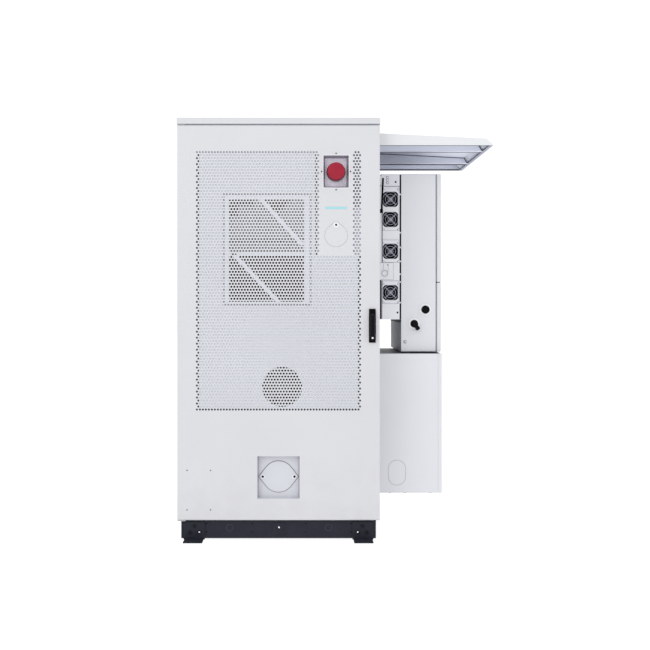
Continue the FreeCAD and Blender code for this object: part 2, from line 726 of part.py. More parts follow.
def control_box():
    x = rack_planes()[0]
    back = RACK_REAR - RUNNER
    box = block(-x, x, RACK_FRONT, back, RACK_TOP, RACK_TOP + CONTROL_BOX_HEIGHT)
    box = box.cut(block(-x + SHEET, x - SHEET, RACK_FRONT + SHEET, back, RACK_TOP + SHEET,
                        RACK_TOP + CONTROL_BOX_HEIGHT - SHEET))
    middle_z = RACK_TOP + CONTROL_BOX_HEIGHT / 2
    extras = [centred_y(-x / 2, middle_z, *BREAKER, RACK_FRONT - BREAKER_PROUD, RACK_FRONT)]
    for step in range(4):
        socket_x = x / 4 + step * x / 6
        extras.append(bar_y(socket_x, middle_z, SOCKET_R, RACK_FRONT - BREAKER_PROUD, RACK_FRONT))
    save("control_box", box.fuse(extras).removeSplitter())


def fire_suppressor():
    x = -(HALF_W - SUPPRESSOR_INSET)
    y = (UNIT_BACK + BODY_FRONT) / 2
    top = FLOOR_TOP + SUPPRESSOR_HEIGHT
    can = capped_can(x, y, SUPPRESSOR_R, FLOOR_TOP, top)
    neck = bar_z(x, y, SUPPRESSOR_R / 4, top, top + SUPPRESSOR_R / 2)
    half = RUNNER / 2
    foot = block(x - SUPPRESSOR_R - half, x + SUPPRESSOR_R + half, y - half, y + half,
                 FLOOR_TOP, FLOOR_TOP + SHEET)
    save("fire_suppressor", can.fuse([neck, foot]).removeSplitter())


# Door skin and the panels behind it
def door_skin():
    outer = block(-HALF_W, HALF_W, FRONT, DOOR_BACK, DOOR_BOTTOM, DOOR_TOP)
    outer = fillet_edges(outer, DOOR_EDGE_R, lambda p: p.y < FRONT + CLEAR)
    inner = block(-WALL_X, WALL_X, SKIN_BACK, DOOR_BACK, DOOR_BOTTOM + SHEET, DOOR_TOP - SHEET)
    inner = fillet_edges(inner, DOOR_EDGE_R - SHEET, lambda p: p.y < SKIN_BACK + CLEAR)
    cuts = [
        inner,
        block(-VENT_WIDTH / 2, VENT_WIDTH / 2, FRONT, SKIN_BACK, VENT_BOTTOM, VENT_TOP),
        hose_plug(THIN_SHEET),
        bar_y(HANDLE_X, PIVOT_Z, SPINDLE_R * 2, FRONT, SKIN_BACK),
        bar_z(HINGE_X, HINGE_Y, HINGE_PIN_R + SHEET, DOOR_BOTTOM, DOOR_BOTTOM + SHEET),
        bar_z(HINGE_X, HINGE_Y, HINGE_PIN_R + SHEET, DOOR_TOP - SHEET, DOOR_TOP),
    ]
    save("door_skin", outer.cut(cuts))


def estop_plug(grow):
    """Space of the emergency-stop recess, grown on every side."""
    width, height = (side + 2 * grow for side in ESTOP_RECESS)
    return taper_y(CONTROLS_X, ESTOP_Z, width, height, FRONT, FRONT + ESTOP_DEPTH + grow, ESTOP_DRAFT)


def hose_plug(grow):
    """Space of the lower recess, grown on every side."""
    width, height = (side + 2 * grow for side in HOSE_RECESS)
    return taper_y(0, HOSE_Z, width, height, FRONT, FRONT + HOSE_DEPTH + grow, HOSE_DRAFT)


def vent_panel():
    panel = block(-VENT_WIDTH / 2, VENT_WIDTH / 2, FRONT, SKIN_BACK, VENT_BOTTOM, VENT_TOP)
    panel = panel.cut([
        estop_plug(THIN_SHEET),
        centred_y(CONTROLS_X, STRIP_Z, *STRIP, FRONT, SKIN_BACK),
        bar_y(CONTROLS_X, PORT_Z, PORT_R, FRONT, SKIN_BACK),
        bar_y(CONTROLS_X, PORT_Z + PORT_PIVOT_RISE, PORT_SCREW_R, FRONT, SKIN_BACK),
    ])
    save("vent_panel", panel)


def door_backing():
    """White tray close behind the punched field, open at the controls and the cooling unit."""
    x = VENT_WIDTH / 2 - BACKING_MARGIN
    z0 = VENT_BOTTOM + BACKING_MARGIN
    z1 = VENT_TOP - BACKING_MARGIN
    tray = block(-x, x, BACKING_FRONT, PANEL_FRONT, z0, z1)
    hollow = block(-x + THIN_SHEET, x - THIN_SHEET, BACKING_FRONT + THIN_SHEET, PANEL_FRONT,
                   z0 + THIN_SHEET, z1 - THIN_SHEET)
    reach = BACKING_FRONT + THIN_SHEET
    collar = [x + side * COLLAR_GAP for x, side in zip(COLLAR_X, (-1, 1))]
    collar_z = [VENT_BOTTOM + rise + side * COLLAR_GAP for rise, side in zip(COLLAR_RISE, (-1, 1))]
    tray = tray.cut([
        hollow,
        block(*collar, BACKING_FRONT, reach, *collar_z),
        bar_y(OUTER_FAN_X, OUTER_FAN_Z, OUTER_FAN_R, BACKING_FRONT, reach),
        block(BLANK_X - HOLE_PITCH, x, BACKING_FRONT, PANEL_FRONT, BLANK_Z, z1),
    ])
    save("door_backing", tray)


def door_inner_panel():
    panel = block(-WALL_X, WALL_X, PANEL_FRONT, PANEL_BACK, DOOR_BOTTOM + SHEET, DOOR_TOP - SHEET)
    cuts = [
        block(UNIT_X0, UNIT_X1, PANEL_FRONT, PANEL_BACK, UNIT_Z0, UNIT_Z1),
        estop_plug(THIN_SHEET + CLEAR),
        hose_plug(THIN_SHEET + CLEAR),
    ]
    low, high = keeper_heights()
    half = KEEPER_PIN_R + KEEPER_PLAY
    for z0, z1 in ((low - half, low + ROD_TRAVEL + half), (high - ROD_TRAVEL - half, high + half)):
        cuts.append(block(ROD_X_UPPER - half, ROD_X_UPPER + half, PANEL_FRONT, PANEL_BACK, z0, z1))
    save("door_inner_panel", panel.cut(cuts))


# Controls on the door
def estop():
    floor = FRONT + ESTOP_DEPTH
    cup = estop_plug(THIN_SHEET)
    flange = centred_y(CONTROLS_X, ESTOP_Z, *ESTOP_FLANGE, SKIN_BACK, SKIN_BACK + THIN_SHEET)
    stem_hole = bar_y(CONTROLS_X, ESTOP_Z, ESTOP_STEM_R + RUNNING, floor - ESTOP_COLLAR, floor + THIN_SHEET)
    cup = cup.fuse(flange).cut([estop_plug(0.0), stem_hole])
    collar = bar_y(CONTROLS_X, ESTOP_Z, ESTOP_COLLAR_R, floor - ESTOP_COLLAR, floor).cut(stem_hole)
    save("estop_recess", cup, collar)
    face = FRONT - ESTOP_PROUD
    stem_front = face + ESTOP_SOCKET
    stem = bar_y(CONTROLS_X, ESTOP_Z, ESTOP_STEM_R, stem_front, floor + ESTOP_TAIL)
    save("estop_plunger", stem)
    back = face + ESTOP_HEAD
    edge_r = ESTOP_FACE_R + (ESTOP_BASE_R - ESTOP_FACE_R) * ESTOP_EDGE / ESTOP_HEAD
    bevel = Part.makeCone(ESTOP_FACE_R - ESTOP_EDGE, edge_r, ESTOP_EDGE,
                          V(CONTROLS_X, face, ESTOP_Z), V(0, 1, 0))
    cone = Part.makeCone(edge_r, ESTOP_BASE_R, ESTOP_HEAD - ESTOP_EDGE,
                         V(CONTROLS_X, face + ESTOP_EDGE, ESTOP_Z), V(0, 1, 0)).fuse(bevel)
    cavity_r = ESTOP_COLLAR_R + CORNER_R
    cavity = bar_y(CONTROLS_X, ESTOP_Z, cavity_r, back - ESTOP_TRAVEL - 2 * ESTOP_COLLAR, back)
    socket = bar_y(CONTROLS_X, ESTOP_Z, ESTOP_STEM_R + RUNNING, stem_front - SEAT, back)
    save("estop_head", cone.cut([cavity, socket]))


def light_strip():
    lens = centred_y(CONTROLS_X, STRIP_Z, *STRIP, FRONT, SKIN_BACK)
    flange = centred_y(CONTROLS_X, STRIP_Z, STRIP[0] + POST_WALL * 2, STRIP[1] + POST_WALL * 2,
                       SKIN_BACK, SKIN_BACK + POST_WALL)
    save("led_strip", lens.fuse(flange))


def link_plate(x, z, r_main, dx, dz, r_tip, y0, y1):
    """Round plate drawn out to a smaller round tip."""
    reach = math.hypot(dx, dz)
    along = V(dx / reach, 0, dz / reach)
    across = V(along.z, 0, -along.x)
    tilt = math.acos((r_main - r_tip) / reach)
    main = V(x, y0, z)
    tip = V(x + dx, y0, z + dz)
    normals = [along * math.cos(tilt) + across * (side * math.sin(tilt)) for side in (1, -1)]
    p = [main + n * r_main for n in normals]
    q = [tip + n * r_tip for n in normals]
    edges = [
        Part.Arc(p[0], main - along * r_main, p[1]).toShape(),
        Part.LineSegment(p[1], q[1]).toShape(),
        Part.Arc(q[1], tip + along * r_tip, q[0]).toShape(),
        Part.LineSegment(q[0], p[0]).toShape(),
    ]
    return outline_y(edges, y0, y1)


def service_port():
    cup = bar_y(CONTROLS_X, PORT_Z, PORT_R, FRONT, FRONT + PORT_DEPTH)
    flange = bar_y(CONTROLS_X, PORT_Z, PORT_R + SHEET, SKIN_BACK, SKIN_BACK + THIN_SHEET)
    cup = cup.fuse(flange).cut(bar_y(CONTROLS_X, PORT_Z, PORT_R - SHEET, FRONT, FRONT + PORT_DEPTH - SHEET))
    pivot_z = PORT_Z + PORT_PIVOT_RISE
    cover_back = FRONT - SEAT
    cover_front = cover_back - THIN_SHEET
    head_back = cover_front - SEAT
    head = bar_y(CONTROLS_X, pivot_z, PORT_SCREW_HEAD_R, head_back - SHEET, head_back)
    shank = bar_y(CONTROLS_X, pivot_z, PORT_SCREW_R, head_back, SKIN_BACK + SHEET)
    save("port_cup", cup, head.fuse(shank).removeSplitter())
    cover_y = (cover_front, cover_back)
    cover = link_plate(CONTROLS_X, PORT_Z, PORT_COVER_R, 0, PORT_PIVOT_RISE, PORT_TIP_R, *cover_y)
    save("port_cover", cover.cut(bar_y(CONTROLS_X, pivot_z, PORT_SCREW_R + RUNNING, *cover_y)))


def hose_port():
    cup = hose_plug(THIN_SHEET)
    flange = centred_y(0, HOSE_Z, HOSE_RECESS[0] + RUNNER, HOSE_RECESS[1] + RUNNER,
                       SKIN_BACK, SKIN_BACK + THIN_SHEET)
    save("hose_recess", cup.fuse(flange).cut(hose_plug(0.0)))
    floor = FRONT + HOSE_DEPTH
    front = floor - HOSE_COVER_SHEET
    ear = HOSE_COVER_EARS - HOSE_EAR_R
    halves = []
    screws = []
    for side in (-1, 1):
        halves.append(link_plate(0, HOSE_Z, HOSE_COVER_R, side * ear, 0, HOSE_EAR_R, front, floor))
        screws.append(bar_y(side * HOSE_SCREW_X, HOSE_Z, PORT_SCREW_HEAD_R, front - SHEET, front))
    save("hose_cover", halves[0].fuse(halves[1]).removeSplitter(), *screws)


# Cooling unit on the door
def axial_rotor(hub_r, tip_r, depth, blades, bore_r, pitches):
    """Fan rotor on the Y axis, centred on the origin: hub, and lofted blades that lose pitch outwards."""
    hub = bar_y(0, 0, hub_r, -depth / 2, depth / 2)
    radii = (hub_r - SHEET / 2, tip_r)
    sweep = math.radians(BLADE_SWEEP)
    parts = []
    for blade in range(blades):
        sections = []
        for share, radius in enumerate(radii):
            pitch = math.radians(pitches[share])
            chord = min(BLADE_FILL * depth / math.sin(pitch), BLADE_SOLIDITY * 2 * math.pi * radius / blades)
            turn = 2 * math.pi / blades * blade + sweep * share
            sections.append(blade_section(radius, chord, pitch, turn))
        parts.append(faceted(*sections))
    return hub.fuse(parts).cut(bar_y(0, 0, bore_r, -depth / 2, depth / 2 - SHEET))


def blade_section(radius, chord, pitch, turn):
    """Thin cambered outline across the chord, as points in the plane square to the blade's radius."""
    out = V(math.cos(turn), 0, math.sin(turn))
    around = V(-math.sin(turn), 0, math.cos(turn))
    camber = BLADE_CAMBER * chord
    half_thick = BLADE_THICK / 2
    outline = [(-0.5, 0.0, 0), (0.0, camber, -1), (0.5, 0.0, 0), (0.0, camber, 1)]
    points = []
    for share, lift, side in outline:
        along = share * chord
        off = lift + side * half_thick
        point = out * radius + around * (along * math.cos(pitch) - off * math.sin(pitch))
        points.append(point + V(0, along * math.sin(pitch) + off * math.cos(pitch), 0))
    return points


def cooling_unit():
    case = block(UNIT_X0, UNIT_X1, UNIT_FRONT, UNIT_BACK, UNIT_Z0, UNIT_Z1)
    inside = (UNIT_X0 + SHEET, UNIT_X1 - SHEET)
    hollow = block(*inside, UNIT_FRONT + SHEET, UNIT_BACK - SHEET, UNIT_Z0 + SHEET, UNIT_Z1 - SHEET)
    low_z = VENT_BOTTOM + COIL_RISE[0]
    high_z = VENT_BOTTOM + COIL_RISE[1]
    split_z = VENT_BOTTOM + COIL_SPLIT_RISE
    front_y = (UNIT_FRONT, UNIT_FRONT + SHEET)
    back_y = (UNIT_BACK - SHEET, UNIT_BACK)
    cuts = [
        hollow,
        block(*COIL_X, *front_y, low_z, high_z),
        bar_y(OUTER_FAN_X, OUTER_FAN_Z, OUTER_FAN_R, *front_y),
        bar_y(UNIT_X, INNER_FAN_Z, INNER_FAN_R, *back_y),
    ]
    for slot in range(GRILLE_SLOTS):
        z = VENT_BOTTOM + GRILLE_RISE + slot * 2 * GRILLE_SLOT
        cuts.append(block(UNIT_X0 + UNIT_SIDE, UNIT_X1 - UNIT_SIDE, *back_y, z, z + GRILLE_SLOT))
    case = case.cut(cuts)
    case = case.fuse(coil_collar(low_z, high_z, split_z)).removeSplitter()
    outer_y = UNIT_FRONT + SHEET + FAN_GAP + UNIT_FAN_DEPTH / 2
    inner_y = UNIT_BACK - SHEET - FAN_GAP - UNIT_FAN_DEPTH / 2
    motors = []
    for x, y, z, way in ((OUTER_FAN_X, outer_y, OUTER_FAN_Z, 1), (UNIT_X, inner_y, INNER_FAN_Z, -1)):
        near = y + way * (UNIT_FAN_DEPTH / 2 + SEAT)
        far = near + way * MOTOR_LENGTH
        tip = y - way * (UNIT_FAN_DEPTH / 2 - 2 * SHEET)
        motor = bar_y(x, z, MOTOR_R, *sorted((near, far)))
        shaft = bar_y(x, z, MOTOR_SHAFT_R, *sorted((tip, far)))
        bridge = block(*inside, *sorted((far, far + way * POST_WALL)), z - MOTOR_R / 2, z + MOTOR_R / 2)
        motors.append(motor.fuse([shaft, bridge]).removeSplitter())
    compressor = capped_can(COMPRESSOR_X, (UNIT_FRONT + UNIT_BACK) / 2 + 2 * CORNER_R, COMPRESSOR_R,
                            UNIT_Z0 + SHEET, UNIT_Z0 + COMPRESSOR_HEIGHT)
    save("hvac_case", case, compressor, *motors)
    coil_y = UNIT_FRONT + SHEET + COIL_GAP
    coil = block(*inside, coil_y, coil_y + COIL_DEPTH, split_z, high_z)
    step = (high_z - split_z) / COIL_GROOVES
    for groove in range(COIL_GROOVES):
        z = split_z + (groove + 0.35) * step
        coil = coil.cut(block(inside[0] + RUNNER, inside[1] - RUNNER, coil_y, coil_y + COIL_DEPTH / 4,
                              z, z + 0.3 * step))
    save("hvac_coil", coil)
    outer = axial_rotor(UNIT_HUB_R, OUTER_FAN_R - FAN_TIP_GAP, UNIT_FAN_DEPTH, FAN_BLADES,
                        MOTOR_SHAFT_R + RUNNING, UNIT_FAN_PITCH)
    inner = axial_rotor(UNIT_HUB_R, INNER_FAN_R - FAN_TIP_GAP, UNIT_FAN_DEPTH, FAN_BLADES,
                        MOTOR_SHAFT_R + RUNNING, UNIT_FAN_PITCH)
    outer = outer.mirror(V(0, 0, 0), V(0, 1, 0))
    outer.translate(V(OUTER_FAN_X, outer_y, OUTER_FAN_Z))
    inner.translate(V(UNIT_X, inner_y, INNER_FAN_Z))
    save("hvac_outer_fan", outer)
    save("hvac_inner_fan", inner)


def coil_collar(low_z, high_z, split_z):
    """Frame round the coil's opening, brought forward to the punched sheet, with its bar and two struts."""
    face_y = (BACKING_FRONT, BACKING_FRONT + THIN_SHEET)
    rim_z = [VENT_BOTTOM + rise for rise in COLLAR_RISE]
    rim = block(*COLLAR_X, BACKING_FRONT, UNIT_FRONT, *rim_z)
    rim = rim.cut(block(*COIL_X, BACKING_FRONT, UNIT_FRONT, low_z, high_z))
    bars = [block(*COIL_X, *face_y, split_z, split_z + STRUT_WIDTH)]
    half = STRUT_WIDTH / 2
    for (x0, rise0), (x1, rise1) in STRUTS:
        corners = [(x0 - half, low_z + rise0), (x0 + half, low_z + rise0),
                   (x1 + half, low_z + rise1), (x1 - half, low_z + rise1)]
        bars.append(prism_y(corners, *face_y))
    return rim.fuse(bars).removeSplitter()


# Swing handle and rod lock
def handle():
    width, height = HANDLE_BASE
    base_front = FRONT - HANDLE_BASE_PROUD
    z_mid = DOOR_BOTTOM + HANDLE_RISE
    half_w = width / 2
    half_h = height / 2
    corner = [V(HANDLE_X + sx * (half_w - 1.0), base_front, z_mid + sz * half_h)
              for sx, sz in ((-1, -1), (1, -1), (1, 1), (-1, 1))]
    side_mid = [V(HANDLE_X + side * half_w, base_front, z_mid) for side in (1, -1)]
    edges = [
        Part.LineSegment(corner[0], corner[1]).toShape(),
        Part.Arc(corner[1], side_mid[0], corner[2]).toShape(),
        Part.LineSegment(corner[2], corner[3]).toShape(),
        Part.Arc(corner[3], side_mid[1], corner[0]).toShape(),
    ]
    base = outline_y(edges, base_front, FRONT)
    base = fillet_edges(base, 2.0, lambda p: p.y < base_front + CLEAR)
    base = base.fuse(bar_y(HANDLE_X, PIVOT_Z, SPINDLE_R * 2, FRONT, SKIN_BACK + SHEET))
    bore = bar_y(HANDLE_X, PIVOT_Z, SPINDLE_R + RUNNING, base_front, SKIN_BACK + SHEET)
    save("handle_base", base.cut(bore))
    lever_back = base_front - SEAT
    pin_y = lever_back - LEVER_PIN_DEPTH
    spindle(pin_y)
    lever(lever_back, pin_y)


def spindle(pin_y):
    """Shaft through the door with its eye and cross pin in front and the cam behind."""
    eye = bar_x(pin_y, PIVOT_Z, EYE_R, HANDLE_X - EYE_HALF, HANDLE_X + EYE_HALF)
    neck = block(HANDLE_X - EYE_HALF, HANDLE_X + EYE_HALF, pin_y, pin_y + LEVER_PIN_DEPTH,
                 PIVOT_Z - EYE_R, PIVOT_Z + EYE_R)
    neck = neck.common(bar_y(HANDLE_X, PIVOT_Z, EYE_HALF + 1.0, pin_y, pin_y + LEVER_PIN_DEPTH))
    cross = bar_x(pin_y, PIVOT_Z, CROSS_PIN_R, HANDLE_X - CROSS_PIN_HALF, HANDLE_X + CROSS_PIN_HALF)
    cam_front = ROD_BACK + CLEAR
    shaft = bar_y(HANDLE_X, PIVOT_Z, SPINDLE_R, pin_y + LEVER_PIN_DEPTH, cam_front + CAM_THICK)
    reach = CAM_PIN_RADIUS / math.sqrt(2)
    cam_r = CAM_PIN_R + ROD_MARGIN
    parts = [neck, cross, shaft]
    for side in (-1, 1):
        end = (HANDLE_X + side * reach, PIVOT_Z + side * reach)
        parts.append(bar_y(*end, cam_r, cam_front, cam_front + CAM_THICK))
        parts.append(bar_y(HANDLE_X + side * reach, PIVOT_Z + side * reach, CAM_PIN_R, ROD_FRONT, cam_front))
    across = cam_r / math.sqrt(2)
    corners = [(HANDLE_X + sx * reach + dx, PIVOT_Z + sx * reach - dx)
               for sx, dx in ((-1, across), (1, across), (1, -across), (-1, -across))]
    parts.append(prism_y(corners, cam_front, cam_front + CAM_THICK))
    save("handle_spindle", eye.fuse(parts).removeSplitter())


def lever(back, pin_y):
    front = back - LEVER_THICK
    low = PIVOT_Z - LEVER_BELOW
    high = PIVOT_Z + LEVER_ABOVE
    body_ = stadium_y(HANDLE_X, (low + high) / 2, LEVER_WIDTH, high - low, front, back)
    body_ = fillet_edges(body_, LEVER_EDGE, lambda p: p.y < front + CLEAR)
    slot_front = pin_y - EYE_R - CLEAR
    slot = block(HANDLE_X - EYE_HALF - CLEAR, HANDLE_X + EYE_HALF + CLEAR, slot_front, back,
                 PIVOT_Z - EYE_R - 2 * LEVER_PIN_DEPTH * math.sin(math.radians(LEVER_LIFT)) - CLEAR, high)
    slope = math.tan(math.radians(LEVER_LIFT + 2.0))
    relief_top = high - PIVOT_Z
    relief = Part.Face(Part.makePolygon([
        V(HANDLE_X, back, PIVOT_Z),
        V(HANDLE_X, back - relief_top * slope, high),
        V(HANDLE_X, back, high),
        V(HANDLE_X, back, PIVOT_Z),
    ])).extrude(V(LEVER_WIDTH, 0, 0))
    relief.translate(V(-LEVER_WIDTH / 2, 0, 0))
    key_z = low + KEY_RISE
    cuts = [
        slot,
        relief,
        bar_x(pin_y, PIVOT_Z, CROSS_PIN_R + RUNNING, HANDLE_X - CROSS_PIN_HALF, HANDLE_X + CROSS_PIN_HALF),
        bar_y(HANDLE_X, key_z, KEY_R + RUNNING, front, back),
        bar_y(HANDLE_X, PIVOT_Z - LEVER_HOLE_DROP, LEVER_HOLE_R, front, front + LEVER_THICK / 2),
    ]
    save("handle_lever", body_.cut(cuts))
    plug = bar_y(HANDLE_X, key_z, KEY_R, front, back)
    slit = block(HANDLE_X - 0.6, HANDLE_X + 0.6, front, front + SHEET, key_z - KEY_R / 2, key_z + KEY_R / 2)
    save("key_cylinder", plug.cut(slit))


def lock_rods():
    reach = CAM_PIN_RADIUS / math.sqrt(2)
    slot_half = CAM_PIN_R + CAM_SLOT_CLEAR
    slot = block(reach - CAM_PIN_R - CLEAR, CAM_PIN_RADIUS + CAM_PIN_R + CLEAR, ROD_FRONT, ROD_BACK,
                 reach - slot_half, reach + slot_half)
    plate_x = (reach - CAM_PIN_R - ROD_MARGIN, CAM_PIN_RADIUS + CAM_PIN_R + ROD_MARGIN)
    plate_low = reach - slot_half - ROD_MARGIN
    plate_high = reach + slot_half + ROD_MARGIN
    rod_x = ROD_X_UPPER - HANDLE_X
    low, high = (z - PIVOT_Z for z in keeper_heights())
    upper = block(*plate_x, ROD_FRONT, ROD_BACK, plate_low, plate_high)
    bar_high = high + KEEPER_HEIGHT / 2
    half = ROD_WIDTH / 2
    bar = block(rod_x - half, rod_x + half, ROD_FRONT, ROD_BACK, reach + slot_half, bar_high)
    pin = bar_y(rod_x, high, KEEPER_PIN_R, ROD_BACK, ROD_BACK + KEEPER_PIN_REACH)
    upper = upper.fuse([bar, pin]).removeSplitter().cut(slot)
    jog_top = -plate_high - ROD_TRAVEL - ROD_MARGIN
    jog_low = jog_top - ROD_WIDTH
    lower = block(-plate_x[1], -plate_x[0], ROD_FRONT, ROD_BACK, jog_low, -plate_low)
    jog = block(-plate_x[1], rod_x + ROD_WIDTH / 2, ROD_FRONT, ROD_BACK, jog_low, jog_top)
    bar_low = low - KEEPER_HEIGHT / 2 + CORNER_R
    bar = block(rod_x - ROD_WIDTH / 2, rod_x + ROD_WIDTH / 2, ROD_FRONT, ROD_BACK, bar_low, jog_top)
    pin = bar_y(rod_x, low, KEEPER_PIN_R, ROD_BACK, ROD_BACK + KEEPER_PIN_REACH)
    low_slot = slot.mirror(V(0, 0, 0), V(1, 0, 0)).mirror(V(0, 0, 0), V(0, 0, 1))
    lower = lower.fuse([jog, bar, pin]).removeSplitter().cut(low_slot)
    for name, rod in (("lock_rod_upper", upper), ("lock_rod_lower", lower)):
        rod.translate(V(HANDLE_X, 0, PIVOT_Z))
        save(name, rod)
    guides = []
    span = high - plate_high
    drop = -low + jog_low
    heights = (plate_high + span * 0.3, plate_high + span * 0.8, jog_low - drop * 0.3, jog_low - drop * 0.8)
    for z in heights:
        guide = block(rod_x - ROD_WIDTH / 2 - LIP, rod_x + ROD_WIDTH / 2 + LIP, SKIN_BACK, ROD_BACK + LIP,
                      z - ROD_WIDTH / 2, z + ROD_WIDTH / 2)
        passage = block(rod_x - ROD_WIDTH / 2 - SEAT, rod_x + ROD_WIDTH / 2 + SEAT, ROD_FRONT - SEAT,
                        ROD_BACK + SEAT, z - ROD_WIDTH / 2, z + ROD_WIDTH / 2)
        guide = guide.cut(passage)
        guide.translate(V(HANDLE_X, 0, PIVOT_Z))
        guides.append(guide)
    for z0 in (DOOR_BOTTOM + SHEET, DOOR_TOP - SHEET - HINGE_BLOCK):
        z1 = z0 + HINGE_BLOCK
        socket = block(-WALL_X, HINGE_X + HINGE_BLOCK / 2, SKIN_BACK + CORNER_R, PANEL_FRONT, z0, z1)
        guides.append(socket.cut(bar_z(HINGE_X, HINGE_Y, HINGE_PIN_R + RUNNING, z0, z1)))
    save("door_fittings", *guides)


# Inverter
def inverter_case():
    bottom = INVERTER_BOTTOM
    shell = block(ENCLOSURE_X0, ENCLOSURE_X1, INVERTER_FRONT, INVERTER_REAR, bottom, INVERTER_TOP)
    shell = round_along(shell, 0, CORNER_R)
    wall = ENCLOSURE_WALL
    hollow = block(ENCLOSURE_X0 + wall, ENCLOSURE_X1, INVERTER_FRONT + wall, INVERTER_REAR - wall,
                   bottom + wall, INVERTER_TOP - wall)
    switch_z = bottom + SWITCH_RISE
    shaft_hole = bar_y(ENCLOSURE_X0 + SWITCH_X, switch_z, KNOB_SHAFT_R + RUNNING, INVERTER_FRONT,
                       INVERTER_FRONT + wall)
    stud_place = (ENCLOSURE_X0 + EARTH_X, bottom + EARTH_RISE)
    stud = bar_y(*stud_place, KNOB_SHAFT_R, INVERTER_FRONT - CORNER_R, INVERTER_FRONT)
    save("inverter_enclosure", shell.cut([hollow, shaft_hole]).fuse(stud))
    split = bottom + COVER_SPLIT_RISE
    spans = (("inverter_cover_lower", bottom, split - SHEET / 2),
             ("inverter_cover_upper", split + SHEET / 2, INVERTER_TOP))
    for name, z0, z1 in spans:
        save(name, tray_cover(ENCLOSURE_X1, COVER_DEPTH, INVERTER_FRONT, INVERTER_REAR, z0, z1, wall))
    ring_place = (ENCLOSURE_X0 + SWITCH_X, switch_z)
    ring_y = (INVERTER_FRONT - POST_WALL, INVERTER_FRONT)
    ring = bar_y(*ring_place, SWITCH_R, *ring_y).cut(bar_y(*ring_place, KNOB_SHAFT_R + RUNNING, *ring_y))
    cap_place = (ENCLOSURE_X0 + CAP_X, bottom + CAP_RISE)
    cap = bar_y(*cap_place, CAP_R, INVERTER_FRONT - CAP_PROUD, INVERTER_FRONT)
    cap = cap.cut(bar_y(*cap_place, CAP_R * 0.6, INVERTER_FRONT - CAP_PROUD, INVERTER_FRONT - CAP_PROUD / 2))
    cap = cap.fuse(bar_y(*cap_place, CAP_R * 0.45, INVERTER_FRONT - CAP_PROUD * 0.8, INVERTER_FRONT))
    save("inverter_fittings", ring, cap)
    knob_back = INVERTER_FRONT - POST_WALL - SEAT
    knob_front = knob_back - KNOB_DEPTH
    knob = bar_y(0, 0, KNOB_R, knob_back - KNOB_DEPTH / 2, knob_back)
    grip_half = KNOB_R * 0.3
    grip = block(-grip_half, grip_half, knob_front, knob_back - KNOB_DEPTH / 4, -KNOB_R * 1.6, KNOB_R * 0.9)
    shaft = bar_y(0, 0, KNOB_SHAFT_R, knob_back, INVERTER_FRONT + 2 * wall)
    knob = knob.fuse([round_along(grip, 1, 2.0), shaft]).removeSplitter()
    knob.rotate(V(0, 0, 0), V(0, 1, 0), -KNOB_TURN)
    knob.translate(V(ENCLOSURE_X0 + SWITCH_X, 0, switch_z))
    save("dc_switch_knob", knob)


def tray_cover(x, depth, y0, y1, z0, z1, seat_wall):
    """Screwed-on cover with rounded front edges; a set-back rim behind them sits on the box's wall."""
    inset = seat_wall - CLEAR
    seam = block(x, x + COVER_SEAM, y0 + inset, y1 - inset, z0 + inset, z1 - inset)
    shell = block(x + COVER_SEAM, x + depth, y0, y1, z0, z1)
    shell = fillet_edges(shell, CORNER_R, lambda p: p.x > x + depth - CLEAR)
    wall = inset + SHEET
    hollow = block(x, x + depth - ENCLOSURE_WALL, y0 + wall, y1 - wall, z0 + wall, z1 - wall)
    return shell.fuse(seam).removeSplitter().cut(hollow)


def fan_centre():
    return INVERTER_X0 + (HEATSINK_DEPTH - HEATSINK_BASE) / 2 + CLEAR


